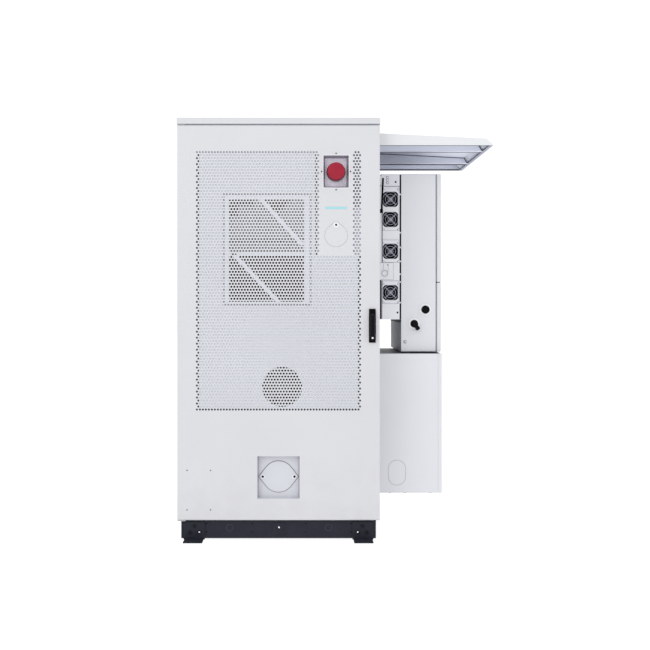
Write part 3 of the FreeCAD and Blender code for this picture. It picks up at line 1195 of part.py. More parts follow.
def heat_section():
    x0 = INVERTER_X0
    fin_x1 = ENCLOSURE_X0 - HEATSINK_BASE
    sheet_y = (INVERTER_FRONT + THIN_SHEET, INVERTER_FRONT + 2 * THIN_SHEET)
    bottom = HEATSINK_BOTTOM
    base_front = INVERTER_FRONT + HEATSINK_SETBACK
    base = block(fin_x1, ENCLOSURE_X0, base_front, INVERTER_REAR, bottom, INVERTER_TOP)
    fin_y0 = sheet_y[1] + FAN_DEPTH + PLENUM
    fins = []
    room = INVERTER_TOP - bottom - 2 * FIN_PITCH
    count = int(room / FIN_PITCH) + 1
    for fin in range(count):
        z = bottom + FIN_PITCH + fin * FIN_PITCH
        fins.append(block(x0 + THIN_SHEET + CLEAR, fin_x1, fin_y0, INVERTER_REAR, z, z + FIN_THICK))
    save("inverter_heatsink", base.fuse(fins).removeSplitter())
    shroud = block(x0, fin_x1, sheet_y[0], INVERTER_REAR, bottom, INVERTER_TOP)
    inside = block(x0 + THIN_SHEET, fin_x1, sheet_y[1], INVERTER_REAR, bottom + THIN_SHEET,
                   INVERTER_TOP - THIN_SHEET)
    x = fan_centre()
    openings = []
    for drop in FAN_DROPS:
        opening = centred_y(x, INVERTER_TOP - drop, FAN_OPENING, FAN_OPENING, INVERTER_FRONT, sheet_y[1])
        openings.append(round_along(opening, 1, 3 * CORNER_R))
    shroud = shroud.cut([inside] + openings)
    spans = [
        (0.0, FAN_DROPS[0] - FAN_PANEL_HALF - CORNER_R),
        (FAN_DROPS[0] - FAN_PANEL_HALF, FAN_DROPS[1] + FAN_PANEL_HALF),
        (FAN_DROPS[2] - FAN_PANEL_HALF, FAN_DROPS[2] + FAN_PANEL_HALF),
        (FAN_DROPS[2] + FAN_PANEL_HALF + SHEET, FAN_DROPS[3] - FAN_PANEL_HALF - SHEET),
        (FAN_DROPS[3] - FAN_PANEL_HALF, FAN_DROPS[3] + FAN_PANEL_HALF),
        (FAN_DROPS[3] + FAN_PANEL_HALF + SHEET, INVERTER_TOP - bottom),
    ]
    plates = []
    for top, low in spans:
        plate_z = (INVERTER_TOP - low, INVERTER_TOP - top)
        plate = block(x0 + SHEET, fin_x1 - SHEET, INVERTER_FRONT, sheet_y[0], *plate_z)
        plates.append(plate.cut(openings))
    eye_z = INVERTER_TOP - LUG_DROP
    eye = bar_y(x0 + LUG_X, eye_z, LUG_R, INVERTER_FRONT - POST_WALL, INVERTER_FRONT)
    eye = eye.cut(bar_y(x0 + LUG_X, eye_z, LUG_R - POST_WALL, INVERTER_FRONT - POST_WALL, INVERTER_FRONT))
    plates.append(eye)
    save("fan_tray", shroud, *plates)
    hook_z = INVERTER_TOP - HOOK_DROP
    rails = []
    for drop in (BRACKET_DROPS[0], BRACKET_DROPS[1]):
        z = INVERTER_TOP - drop
        rail = tube(HALF_W, x0, INVERTER_FRONT + POST, INVERTER_REAR - POST, z - POST, z, 1, POST_WALL)
        rails.append(rail)
    hook = block(x0 - CORNER_R, x0, INVERTER_FRONT + POST_WALL, INVERTER_FRONT + 2 * POST,
                 INVERTER_TOP - BRACKET_DROPS[0], hook_z)
    rails[0] = rails[0].fuse(hook).removeSplitter()
    save("inverter_bracket", *rails)


def inverter_fans():
    x = fan_centre()
    y0 = INVERTER_FRONT + 2 * THIN_SHEET
    frame = centred_y(0, 0, FAN_SIZE, FAN_SIZE, 0, FAN_DEPTH)
    frame = round_along(frame, 1, CORNER_R / 2).cut(bar_y(0, 0, FAN_BORE_R, 0, FAN_DEPTH))
    strut_depth = POST_WALL
    strut = centred_y(0, 0, 2 * FAN_BORE_R, SHEET, 0, strut_depth)
    arms = []
    for angle in (45, 135):
        arm = strut.copy()
        arm.rotate(V(0, 0, 0), V(0, 1, 0), angle)
        arms.append(arm)
    hub = bar_y(0, 0, FAN_HUB_R, 0, strut_depth)
    shaft = bar_y(0, 0, FAN_SHAFT_R, strut_depth, FAN_DEPTH - 3 * SHEET)
    frame = frame.fuse(arms + [hub, shaft]).removeSplitter()
    rotor_depth = FAN_DEPTH - strut_depth - SHEET
    rotor = axial_rotor(FAN_HUB_R, FAN_TIP_R, rotor_depth, FAN_BLADES, FAN_SHAFT_R + RUNNING, FAN_PITCH)
    frames = []
    for number, drop in enumerate(FAN_DROPS, 1):
        z = INVERTER_TOP - drop
        placed = frame.copy()
        placed.translate(V(x, y0, z))
        frames.append(placed)
        turned = rotor.copy()
        turned.translate(V(x, y0 + strut_depth + SEAT + rotor_depth / 2, z))
        save("fan_rotor_%d" % number, turned)
    save("fan_frames", *frames)


# Wiring box, canopy and antenna
def wiring_box():
    top = INVERTER_BOTTOM - WIRING_GAP
    x1 = HALF_W + WIRING_DEPTH - WIRING_COVER
    body_ = block(HALF_W, x1, *WIRING_Y, WIRING_BOTTOM, top)
    body_ = round_along(body_, 0, POST_WALL)
    hollow = block(HALF_W + SHEET, x1, WIRING_Y[0] + SHEET, WIRING_Y[1] - SHEET,
                   WIRING_BOTTOM + SHEET, top - SHEET)
    slot_place = (HALF_W + SLOT_CENTRE_X, WIRING_BOTTOM + SLOT_RISE)
    groove_y = (WIRING_Y[0], WIRING_Y[0] + SHEET / 2)
    groove = stadium_y(*slot_place, *SLOT, *groove_y)
    groove = groove.cut(stadium_y(*slot_place, SLOT[0] - 2 * SHEET, SLOT[1] - 2 * SHEET, *groove_y))
    save("wiring_box", body_.cut([hollow, groove]))
    save("wiring_box_cover", tray_cover(x1, WIRING_COVER, *WIRING_Y, WIRING_BOTTOM, top, SHEET))


def canopy_outline(inset):
    """(x, z) corners of the roof profile, drawn in by the inset from the outer faces."""
    x1 = HALF_W + CANOPY_REACH
    wall_top = ROOF_TOP - CANOPY_DROP
    rim = wall_top - CANOPY_WALL
    fall = CANOPY_FALL / (CANOPY_REACH - CANOPY_BEVEL)
    bevel = (wall_top - CANOPY_FALL - rim) / CANOPY_BEVEL
    down = inset * math.hypot(1, fall)
    back = inset * math.hypot(1, 1 / bevel)
    crest_x = x1 - CANOPY_BEVEL
    meet = crest_x + (down - back * bevel) / (bevel - fall)
    meet_z = wall_top - fall * (meet - HALF_W) - down
    return [(HALF_W, rim), (HALF_W, wall_top - down), (meet, meet_z), (x1 - back, rim)]


def canopy():
    half = CANOPY_WIDTH / 2
    outer = canopy_outline(0.0)
    inner = canopy_outline(SHEET)
    rim = outer[0][1]
    sheet = prism_y(outer, -half + SHEET, half - SHEET).cut(prism_y(inner, -half + SHEET, half - SHEET))
    lip_x1 = inner[3][0]
    lip_rise = SHEET * (inner[2][0] - lip_x1) / (inner[2][1] - rim)
    lip = prism_y([(lip_x1 - CANOPY_LIP, rim), (lip_x1, rim), (lip_x1 + lip_rise, rim + SHEET),
                   (lip_x1 - CANOPY_LIP, rim + SHEET)], -half + SHEET, half - SHEET)
    save("canopy_roof", sheet.fuse(lip).removeSplitter())
    pieces = [prism_y(outer, -half, -half + SHEET), prism_y(outer, half - SHEET, half)]
    for y in CANOPY_ARMS:
        web = prism_y([(HALF_W, rim), inner[1], inner[2], (lip_x1 - CANOPY_LIP, rim)], y, y + SHEET)
        flange = block(HALF_W, lip_x1 - CANOPY_LIP, y, y + ARM_FLANGE, rim, rim + SHEET)
        pieces.append(web.fuse(flange).removeSplitter())
    save("canopy_frame", *pieces)


def antenna():
    z = ANTENNA_RISE
    knuckle_x = HALF_W + ANTENNA_REACH
    nut = bar_x(ANTENNA_Y, z, KNUCKLE_R, HALF_W, HALF_W + CORNER_R)
    neck = bar_x(ANTENNA_Y, z, KNUCKLE_R / 2, HALF_W + CORNER_R, knuckle_x - KNUCKLE_R)
    save("antenna_base", nut.fuse(neck).removeSplitter())
    fork = block(knuckle_x - KNUCKLE_R + SEAT, knuckle_x + KNUCKLE_R * 0.7,
                 ANTENNA_Y - KNUCKLE_R, ANTENNA_Y + KNUCKLE_R, z - KNUCKLE_R, z + KNUCKLE_R)
    gap = block(knuckle_x - KNUCKLE_R * 0.6, knuckle_x + KNUCKLE_R, ANTENNA_Y - TONGUE - SEAT,
                ANTENNA_Y + TONGUE + SEAT, z - KNUCKLE_R, z + KNUCKLE_R)
    pin = bar_y(knuckle_x, z, KNUCKLE_PIN_R, ANTENNA_Y - KNUCKLE_R, ANTENNA_Y + KNUCKLE_R)
    save("antenna_knuckle", fork.cut(gap).fuse(pin).removeSplitter())
    tongue = bar_y(knuckle_x, z, KNUCKLE_R * 0.55, ANTENNA_Y - TONGUE, ANTENNA_Y + TONGUE)
    stalk = block(knuckle_x - TONGUE, knuckle_x + TONGUE, ANTENNA_Y - TONGUE, ANTENNA_Y + TONGUE,
                  z, z + KNUCKLE_R + SHEET)
    rod = bar_z(knuckle_x, ANTENNA_Y, ANTENNA_ROD_R, z + KNUCKLE_R + SHEET, z + ANTENNA_LENGTH)
    whip = tongue.fuse([stalk, rod]).cut(bar_y(knuckle_x, z, KNUCKLE_PIN_R + RUNNING, ANTENNA_Y - TONGUE,
                                               ANTENNA_Y + TONGUE))
    whip.rotate(V(knuckle_x, ANTENNA_Y, z), V(0, 1, 0), ANTENNA_LEAN)
    save("antenna_rod", whip)


os.makedirs("parts", exist_ok=True)
plinth()
feet()
body()
roof()
door_opening()
frame_hardware()
rack()
batteries()
control_box()
fire_suppressor()
door_skin()
vent_panel()
door_backing()
door_inner_panel()
estop()
light_strip()
service_port()
hose_port()
cooling_unit()
handle()
lock_rods()
inverter_case()
heat_section()
inverter_fans()
wiring_box()
canopy()
antenna()
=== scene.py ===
"""Dress, light and camera for the outdoor battery cabinet.

The frame is in metres. Sizes of the dress are in millimetres and are scaled when a piece is finished.
"""
import bmesh
import bpy
import math
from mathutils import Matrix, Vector


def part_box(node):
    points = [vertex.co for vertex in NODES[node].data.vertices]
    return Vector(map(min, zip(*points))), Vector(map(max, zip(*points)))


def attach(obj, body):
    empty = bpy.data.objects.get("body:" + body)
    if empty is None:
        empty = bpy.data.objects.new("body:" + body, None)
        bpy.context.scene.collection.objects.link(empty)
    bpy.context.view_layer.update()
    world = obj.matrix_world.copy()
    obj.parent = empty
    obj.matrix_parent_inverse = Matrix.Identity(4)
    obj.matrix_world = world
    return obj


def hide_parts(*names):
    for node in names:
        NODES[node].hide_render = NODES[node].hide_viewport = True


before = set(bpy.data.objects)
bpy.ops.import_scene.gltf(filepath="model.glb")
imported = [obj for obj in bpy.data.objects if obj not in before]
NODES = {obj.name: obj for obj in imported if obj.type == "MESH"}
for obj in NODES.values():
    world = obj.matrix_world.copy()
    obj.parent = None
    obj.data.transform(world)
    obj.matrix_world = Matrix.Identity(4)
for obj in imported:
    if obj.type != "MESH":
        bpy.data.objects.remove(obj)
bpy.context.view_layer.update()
MM = 0.001

# Image and camera: where the lens stands, its focal length and principal point in picture pixels
IMAGE_PX = 650
FOCAL_PX = 956
PRINCIPAL_PX = (299, 302)
EYE = (0.096, -4.997, 1.115)
SENSOR = 36.0

# Punched field of the door
HOLE_PITCH = 14.0
HOLE_R = 5.15
HOLE_SIDES = 8
COLUMNS = 55
ROWS = 87
BLANK_ROWS = 35
BLANK_FIRST = 41
BLANK_LAST = 52
BANDS = 3
SHEET = 2.0


# Shader maths
class Value:
    """A number in a finish's nodes; the usual operators add its Math nodes."""

    def __init__(self, finish, socket):
        self.finish = finish
        self.socket = socket

    def _math(self, operation, first, second):
        node = self.finish.node("ShaderNodeMath", {"operation": operation}, {0: first, 1: second})
        return Value(self.finish, node.outputs[0])

    def __add__(self, other):
        return self._math("ADD", self, other)

    def __sub__(self, other):
        return self._math("SUBTRACT", self, other)

    def __rsub__(self, other):
        return self._math("SUBTRACT", other, self)

    def __mul__(self, other):
        return self._math("MULTIPLY", self, other)

    def __lt__(self, other):
        return self._math("LESS_THAN", self, other)

    def __abs__(self):
        return self._math("ABSOLUTE", self, 0.0)

    __radd__ = __add__
    __rmul__ = __mul__


class Finish:
    """One material: a Principled shader and the nodes that feed it."""

    def __init__(self, name, **fixed):
        self.material = bpy.data.materials.new(name)
        self.material.use_nodes = True
        self.tree = self.material.node_tree
        self.tree.nodes.clear()
        self.shader = self.node("ShaderNodeBsdfPrincipled", {}, fixed)
        output = self.node("ShaderNodeOutputMaterial", {}, {})
        self.tree.links.new(self.shader.outputs[0], output.inputs["Surface"])
        coordinates = self.node("ShaderNodeTexCoord", {}, {}).outputs
        self.place = coordinates["Object"]
        self.facing = coordinates["Normal"]

    def node(self, kind, settings, values):
        """Add a node: its settings first, then the values or links of its sockets."""
        node = self.tree.nodes.new(kind)
        for key, setting in settings.items():
            setattr(node, key, setting)
        for key, value in values.items():
            self.feed(node.inputs[key], value)
        return node

    def feed(self, socket, value):
        if isinstance(value, Value):
            value = value.socket
        if isinstance(value, bpy.types.NodeSocket):
            self.tree.links.new(value, socket)
        else:
            socket.default_value = value

    def noise(self, scale, detail=3.0, place=None):
        values = {"Vector": place or self.place, "Scale": scale, "Detail": detail}
        return Value(self, self.node("ShaderNodeTexNoise", {}, values).outputs["Fac"])

    def stretched(self, x, y, z):
        """The piece's own coordinates, scaled apart along each axis."""
        return self.node("ShaderNodeMapping", {}, {"Vector": self.place, "Scale": (x, y, z)}).outputs[0]

    def range(self, value, low, high, to_low=0.0, to_high=1.0):
        values = {"Value": value, "From Min": low, "From Max": high, "To Min": to_low, "To Max": to_high}
        return Value(self, self.node("ShaderNodeMapRange", {"clamp": True}, values).outputs[0])

    def along(self, axis, source=None):
        """One coordinate of the place, or of another vector."""
        return Value(self, self.node("ShaderNodeSeparateXYZ", {}, {0: source or self.place}).outputs[axis])

    def mix(self, factor, first, second):
        node = self.node("ShaderNodeMix", {"data_type": "RGBA"}, {"Factor": factor, 6: first, 7: second})
        return node.outputs[2]

    def bump(self, height, strength, distance):
        node = self.node("ShaderNodeBump", {}, {"Height": height, "Strength": strength, "Distance": distance})
        self.feed(self.shader.inputs["Normal"], node.outputs[0])

    def set(self, **sockets):
        names = {"colour": "Base Color", "roughness": "Roughness", "metallic": "Metallic",
                 "glow": "Emission Color"}
        for key, value in sockets.items():
            self.feed(self.shader.inputs[names[key]], value)


def rgb(colour, factor=1.0):
    return tuple(channel * factor for channel in colour) + (1.0,)


DUST = (0.42, 0.40, 0.37)


def powder_coat(name, colour, rough=0.5, dust=0.0, shine=0.5, shaded=None):
    """Baked paint: orange peel, faint cloudiness, dust low down, and a second tone on shaded faces."""
    finish = Finish(name, **{"Specular IOR Level": shine})
    cloud = finish.noise(2.3, 4.0)
    peel = finish.noise(1400.0, 2.0)
    speck = finish.noise(420.0, 2.0)
    tone = finish.mix(finish.range(cloud, 0.3, 0.7), rgb(colour, 0.975), rgb(colour, 1.02))
    low = finish.range(finish.along(2), 0.1, 0.5, 1.0, 0.0) * finish.range(finish.noise(14.0, 6.0), 0.4, 0.7)
    tone = finish.mix(low * dust, tone, rgb(DUST))
    if shaded:
        where, second = shaded
        tone = finish.mix(where(finish), tone, rgb(second))
    finish.set(colour=tone, roughness=finish.range(speck, 0.2, 0.8, rough - 0.05, rough + 0.06) + low * 0.08)
    finish.bump(peel, 0.12, 0.0003)
    return finish.material


def moulded(name, colour, rough=0.45, grain=900.0, depth=0.1, shine=0.5):
    """Moulded plastic or rubber with a fine grain."""
    finish = Finish(name, **{"Specular IOR Level": shine})
    grainy = finish.noise(grain, 3.0)
    cloud = finish.noise(30.0, 3.0)
    finish.set(colour=finish.mix(finish.range(cloud, 0.3, 0.7), rgb(colour, 0.93), rgb(colour, 1.07)),
               roughness=finish.range(grainy, 0.3, 0.7, rough - 0.06, rough + 0.06))
    finish.bump(grainy, depth, 0.0003)
    return finish.material


def galvanised(name, colour):
    """Hot-dip zinc with its spangle."""
    finish = Finish(name)
    flake = finish.node("ShaderNodeTexVoronoi", {}, {"Vector": finish.place, "Scale": 70.0})
    tint = finish.node("ShaderNodeSeparateColor", {}, {0: flake.outputs["Color"]})
    flat = Value(finish, tint.outputs[0])
    haze = finish.noise(40.0, 4.0)
    tone = finish.mix(finish.range(flat, 0.0, 1.0), rgb(colour, 0.86), rgb(colour, 1.06))
    finish.set(colour=tone, metallic=0.9, roughness=finish.range(flat, 0.0, 1.0, 0.34, 0.5) + haze * 0.08)
    finish.bump(haze, 0.1, 0.0004)
    return finish.material


def turned_metal(name, colour, rough=0.3, lay=(1.0, 1.0, 1.0)):
    """Bare or plated metal with drawn or brushed lines along one direction."""
    finish = Finish(name)
    lines = finish.noise(300.0, 4.0, finish.stretched(*lay))
    tone = finish.mix(finish.range(lines, 0.3, 0.7), rgb(colour, 0.88), rgb(colour, 1.05))
    finish.set(colour=tone, metallic=1.0, roughness=finish.range(lines, 0.3, 0.7, rough - 0.06, rough + 0.1))
    finish.bump(lines, 0.08, 0.0002)
    return finish.material


def glowing(name, colour, strength):
    """Frosted light with a fine grain."""
    finish = Finish(name, Roughness=0.35, **{"Emission Strength": strength})
    frost = finish.noise(600.0, 2.0)
    glow = finish.mix(finish.range(frost, 0.3, 0.7), rgb(colour, 0.92), rgb(colour))
    finish.set(colour=rgb(colour), glow=glow)
    finish.bump(frost, 0.1, 0.0002)
    return finish.material


# Faces that get a painted shade tone
CANOPY_INNER_Y = 0.4405


def under_canopy(finish):
    """Faces of the canopy that look down or stand inside its outer walls; they get the canopy's painted shade
    tone.
    """
    return (finish.along(2, finish.facing) < 0.01) * (abs(finish.along(1)) < CANOPY_INNER_Y)


# Faces that look towards the cabinet; they get a painted shade tone.
def towards_cabinet(finish):
    return finish.along(0, finish.facing) < -0.5


# Faces that look up; they get a painted shade tone.
def upward(finish):
    return 1.0 - (finish.along(2, finish.facing) < 0.5)


# Faces that do not look to the front, such as the walls of a recess; they get a painted shade tone.
def not_to_front(finish):
    return 1.0 - (finish.along(1, finish.facing) < -0.5)


# Walls of a recess that do not look to the front or up; they get a painted shade tone.
def walls_but_sill(finish):
    return not_to_front(finish) * (finish.along(2, finish.facing) < 0.5)


LIGHT_GREY = (0.567, 0.572, 0.598)
BACKING = (0.60, 0.635, 0.715)
SLATE = (0.30, 0.32, 0.38)
SHADE = (0.140, 0.165, 0.240)
NAVY = (0.0185, 0.020, 0.030)
BLACK = (0.006, 0.0064, 0.0075)
JET = (0.003, 0.003, 0.0035)
MAUVE = (0.74, 0.71, 0.80)
CRIMSON = (0.29, 0.016, 0.034)
CYAN = (0.305, 0.583, 0.625)

# Paints
cabinet_paint = powder_coat("cabinet_paint", LIGHT_GREY, dust=0.12)
# Painted shade: on the inverter and its fan tray, faces that look towards the cabinet take the dark blue
# SHADE tone of the shadow beside the cabinet.
inverter_paint = powder_coat("inverter_paint", (0.625, 0.635, 0.668), rough=0.45,
                             shaded=(towards_cabinet, SHADE))
tray_paint = powder_coat("tray_paint", (0.71, 0.72, 0.755), rough=0.45, shaded=(towards_cabinet, SHADE))
# Painted shade: the canopy's underside and inner walls take a bluer tone for the blue-grey of their shade.
canopy_paint = powder_coat("canopy_paint", (0.65, 0.66, 0.685), shaded=(under_canopy, (0.68, 0.705, 0.80)))
# Painted shade: the wiring box's top, in the shadow under the inverter, takes a near-black tone.
wiring_paint = powder_coat("wiring_paint", (0.63, 0.64, 0.673), shaded=(upward, (0.10, 0.105, 0.135)))
# Painted shade: the top and side walls of the hose recess and the hose cover's edges take a darker tone.
recess_paint = powder_coat("recess_paint", (0.57, 0.58, 0.625), shaded=(walls_but_sill, (0.34, 0.33, 0.39)))
# Painted shade: a dark blue-grey for the shaded lip of the canopy.
lip_paint = powder_coat("lip_paint", (0.30, 0.31, 0.41), shine=0.2)
# Dark lines that are painted shade: round the hose cover, in the hose recess's corners, and behind and along
# the canopy's arms.
dark_line_paint = powder_coat("dark_line_paint", (0.13, 0.125, 0.165), rough=0.7, shine=0.1)
backing_paint = powder_coat("backing_paint", BACKING, rough=0.6)
# Dark grey for seams, notches and outlines; in the field's border, along the tray's edge, in the cover seam
# and inside the canopy's walls it is painted shade.
line_paint = powder_coat("line_paint", (0.10, 0.105, 0.13), rough=0.6, shine=0.1)
# Slate for outlines, rings and seals; in the collar's gap, at the field's border and round the inverter's
# plates it is painted shade.
soft_line_paint = powder_coat("soft_line_paint", SLATE, rough=0.6, shine=0.2)
plinth_paint = powder_coat("plinth_paint", NAVY, dust=0.01, shine=0.12)
frame_paint = powder_coat("frame_paint", (0.42, 0.43, 0.45))
pack_paint = powder_coat("pack_paint", (0.03, 0.032, 0.036), rough=0.4)
red_enamel = powder_coat("red_enamel", (0.42, 0.012, 0.012), rough=0.25)
guard_coat = powder_coat("guard_coat", (0.31, 0.32, 0.385), rough=0.45, shine=0.3)
# Painted shade: the walls of the stop button's recess and of the port cup take a darker tone.
mauve_plastic = powder_coat("mauve_plastic", MAUVE, shaded=(not_to_front, (0.30, 0.275, 0.345)))
# Light paint of washers and rings; round the stop button's recess it is a painted highlight.
rim_paint = powder_coat("rim_paint", (0.80, 0.81, 0.83), rough=0.4)
coil_coat = powder_coat("coil_coat", (0.62, 0.64, 0.73), rough=0.6)

# Plastics and rubbers
black_plastic = moulded("black_plastic", BLACK, rough=0.4, shine=0.04)
dark_plastic = moulded("dark_plastic", JET, rough=0.5, shine=0.05)
antenna_rubber = moulded("antenna_rubber", JET, rough=0.8, shine=0.0)
# Painted highlight: a dark grey, lighter than the black lever, for the lit edges of the lever.
grey_line = moulded("grey_line", (0.035, 0.037, 0.048), rough=0.5, shine=0.1)
plinth_line = moulded("plinth_line", (0.042, 0.044, 0.056), rough=0.5, shine=0.1)
fan_plastic = moulded("fan_plastic", (0.010, 0.010, 0.012), rough=0.5, shine=0.15)
fan_grey = moulded("fan_grey", (0.16, 0.165, 0.19), rough=0.5, shine=0.2)
button_plastic = moulded("button_plastic", CRIMSON, rough=0.42, depth=0.05, shine=0.15)
# Painted shade: a darker red for the button's side, for the shade on it.
button_skirt = moulded("button_skirt", (0.16, 0.006, 0.016), rough=0.42, depth=0.05, shine=0.15)
collar_plastic = moulded("collar_plastic", (0.05, 0.05, 0.055), rough=0.5)
orange_plastic = moulded("orange_plastic", (0.72, 0.18, 0.01), rough=0.4)
# Black foam rubber of the door seal and the fan pads; the same black makes the sheets behind the coil and the
# lower opening and the strip in the heatsink's gap, which are painted shade.
foam_rubber = moulded("foam_rubber", (0.012, 0.012, 0.016), rough=0.9, grain=350.0, depth=0.5, shine=0.05)
# Painted shade: the dark blue-grey of the shade behind the field's border holes.
edge_rubber = moulded("edge_rubber", (0.045, 0.052, 0.075), rough=0.9, grain=350.0, depth=0.3, shine=0.05)
seal_grey = moulded("seal_grey", (0.30, 0.31, 0.35), rough=0.8, grain=350.0, depth=0.3)

# Metals and lights
zinc_sheet = galvanised("zinc_sheet", (0.50, 0.52, 0.54))
# Painted shade: the cooling unit's case in dark zinc, darker than a painted case, so the inside behind the
# punched sheet reads as shade.
dark_sheet = galvanised("dark_sheet", (0.16, 0.165, 0.18))
zinc_steel = turned_metal("zinc_steel", (0.58, 0.57, 0.52), rough=0.36, lay=(1, 1, 0.08))
alloy = turned_metal("alloy", (0.37, 0.395, 0.45), rough=0.45, lay=(1, 0.05, 1))
coil_metal = turned_metal("coil_metal", (0.17, 0.175, 0.20), rough=0.5, lay=(1, 1, 0.05))
bright_metal = turned_metal("bright_metal", (0.85, 0.85, 0.86), rough=0.2)
copper = turned_metal("copper", (0.80, 0.42, 0.24), lay=(0.08, 1, 1))
dark_screw = turned_metal("dark_screw", (0.02, 0.02, 0.024), rough=0.5)
strip_light = glowing("strip_light", CYAN, 0.04)
green_light = glowing("green_light", (0.1, 0.8, 0.2), 0.8)

# Finish of every CAD node
DRESS = {
    cabinet_paint: ["side_panel_left", "side_panel_right", "rear_panel", "roof_cap", "door_surround",
                    "door_skin", "vent_panel", "port_cover"],
    inverter_paint: ["inverter_enclosure", "inverter_cover_upper", "inverter_cover_lower"],
    tray_paint: ["fan_tray", "inverter_bracket"],
    wiring_paint: ["wiring_box", "wiring_box_cover"],
    recess_paint: ["hose_recess", "hose_cover"],
    dark_screw: ["foot_bolts"],
    canopy_paint: ["canopy_roof", "canopy_frame"],
    plinth_paint: ["plinth", "foot_brackets"],
    backing_paint: ["door_backing"],
    frame_paint: ["body_frame", "battery_rack", "control_box", "hinges_and_keepers"],
    zinc_sheet: ["floor_pan", "door_inner_panel"],
    dark_sheet: ["hvac_case"],
    zinc_steel: ["door_fittings", "handle_spindle", "lock_rod_upper", "lock_rod_lower"],
    alloy: ["inverter_heatsink"],
    coil_metal: ["hvac_coil"],
    copper: ["busbar_links"],
    pack_paint: ["battery_packs"],
    red_enamel: ["fire_suppressor"],
    black_plastic: ["handle_base", "handle_lever", "dc_switch_knob", "inverter_fittings"],
    antenna_rubber: ["antenna_base", "antenna_knuckle", "antenna_rod"],
    fan_plastic: ["fan_frames", "fan_rotor_1", "fan_rotor_2", "fan_rotor_3", "fan_rotor_4", "hvac_inner_fan"],
    fan_grey: ["hvac_outer_fan"],
    mauve_plastic: ["estop_recess", "port_cup"],
    collar_plastic: ["estop_plunger"],
    button_plastic: ["estop_head"],
    foam_rubber: ["door_seal"],
    strip_light: ["led_strip"],
    bright_metal: ["key_cylinder"],
}
for material, names in DRESS.items():
    for name in names:
        mesh = NODES[name].data
        mesh.materials.clear()
        mesh.materials.append(material)

# Material slot of a trim piece, unless the piece names another
TRIM = {
    # The seal_rubber slot also holds the dark strips and sheets that are painted shade.
    "seal_rubber": [soft_line_paint, line_paint, dark_line_paint, foam_rubber, edge_rubber, seal_grey],
    "zinc_steel": [dark_screw, zinc_steel, bright_metal],
    "handle_plastic": [black_plastic, dark_plastic, grey_line],
    "door_paint": [cabinet_paint, rim_paint],
    "backing_white": [backing_paint],
    "inverter_paint": [tray_paint],
    "canopy_paint": [lip_paint],
    "plinth_paint": [plinth_paint, plinth_line],
    "pack_paint": [collar_plastic, orange_plastic],
    "strip_lens": [green_light],
    "fan_plastic": [guard_coat],
    "button_red": [button_plastic],
    "coil_alloy": [coil_coat],
}
SLOTS = {material: slot for slot, materials in TRIM.items() for material in materials}


# Piece making
def finished(mesh, name, material, body, slot=None):
    """Put a finished mesh in the scene as a piece that rides on a body."""
    piece = bpy.data.objects.new(name, mesh)
    bpy.context.scene.collection.objects.link(piece)
    if not mesh.materials:
        mesh.materials.append(material)
    slot = slot or SLOTS[material]
    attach(piece, body)
    return piece


def mesh_of(bm, name):
    mesh = bpy.data.meshes.new(name)
    bm.to_mesh(mesh)
    bm.free()
    return mesh


def piece_from(bm, name, material, body="cabinet", slot=None):
    """Turn a shape in millimetres into a piece in metres."""
    bmesh.ops.recalc_face_normals(bm, faces=bm.faces)
    bmesh.ops.scale(bm, vec=(MM, MM, MM), verts=bm.verts)
    return finished(mesh_of(bm, name), name, material, body, slot)


def pattern(bm, name):
    """A loose shape for a Geometry Nodes tree to repeat; it is taken away once used."""
    shape = bpy.data.objects.new(name, mesh_of(bm, name))
    bpy.context.scene.collection.objects.link(shape)
    return shape


def in_mm(box):
    """Low and high corner of a node's box, in millimetres."""
    return [corner / MM for corner in box]


def slab(bm, x0, x1, y0, y1, z0, z1):
    """Closed box."""
    verts = [bm.verts.new((x, y, z)) for x in (x0, x1) for y in (y0, y1) for z in (z0, z1)]
    for ring in ((0, 1, 3, 2), (4, 6, 7, 5), (0, 4, 5, 1), (2, 3, 7, 6), (0, 2, 6, 4), (1, 5, 7, 3)):
        bm.faces.new([verts[i] for i in ring])


def blocks(name, boxes, material, body="cabinet", slot=None):
    """Closed boxes as one piece, each (x0, x1, y0, y1, z0, z1)."""
    bm = bmesh.new()
    for box in boxes:
        slab(bm, *box)
    return piece_from(bm, name, material, body, slot)


def bars(name, places, depths, material, body="cabinet", slot=None):
    """Boxes of one depth as one piece, each (x0, x1, z0, z1)."""
    return blocks(name, [(x0, x1, *depths, z0, z1) for x0, x1, z0, z1 in places], material, body, slot)


def bridge(bm, first, second):
    count = len(first)
    for i in range(count):
        j = (i + 1) % count
        bm.faces.new([first[i], first[j], second[j], second[i]])


def loft(bm, rings):
    """Closed skin through rings of points that all have the same count, capped at both ends."""
    levels = [[bm.verts.new(point) for point in ring] for ring in rings]
    for first, second in zip(levels, levels[1:]):
        bridge(bm, first, second)
    bm.faces.new(levels[0])
    bm.faces.new(levels[-1][::-1])


def belt(bm, rings):
    """Closed hoop: a skin through rings of points that comes back to the first ring."""
    levels = [[bm.verts.new(point) for point in ring] for ring in rings]
    for first, second in zip(levels, levels[1:] + levels[:1]):
        bridge(bm, first, second)


def spun(bm, rings):
    """Closed skin through rings of points; a ring of one point closes an end."""
    levels = [[bm.verts.new(point) for point in ring] for ring in rings]
    for first, second in zip(levels, levels[1:]):
        if len(first) == len(second):
            bridge(bm, first, second)
            continue
        tip, ring = sorted((first, second), key=len)
        for i in range(len(ring)):
            bm.faces.new([ring[i], ring[(i + 1) % len(ring)], tip[0]])


def circle(radius, depth, sides):
    if not radius:
        return [(0, 0, depth)]
    turns = [2 * math.pi * i / sides for i in range(sides)]
    return [(radius * math.cos(turn), radius * math.sin(turn), depth) for turn in turns]


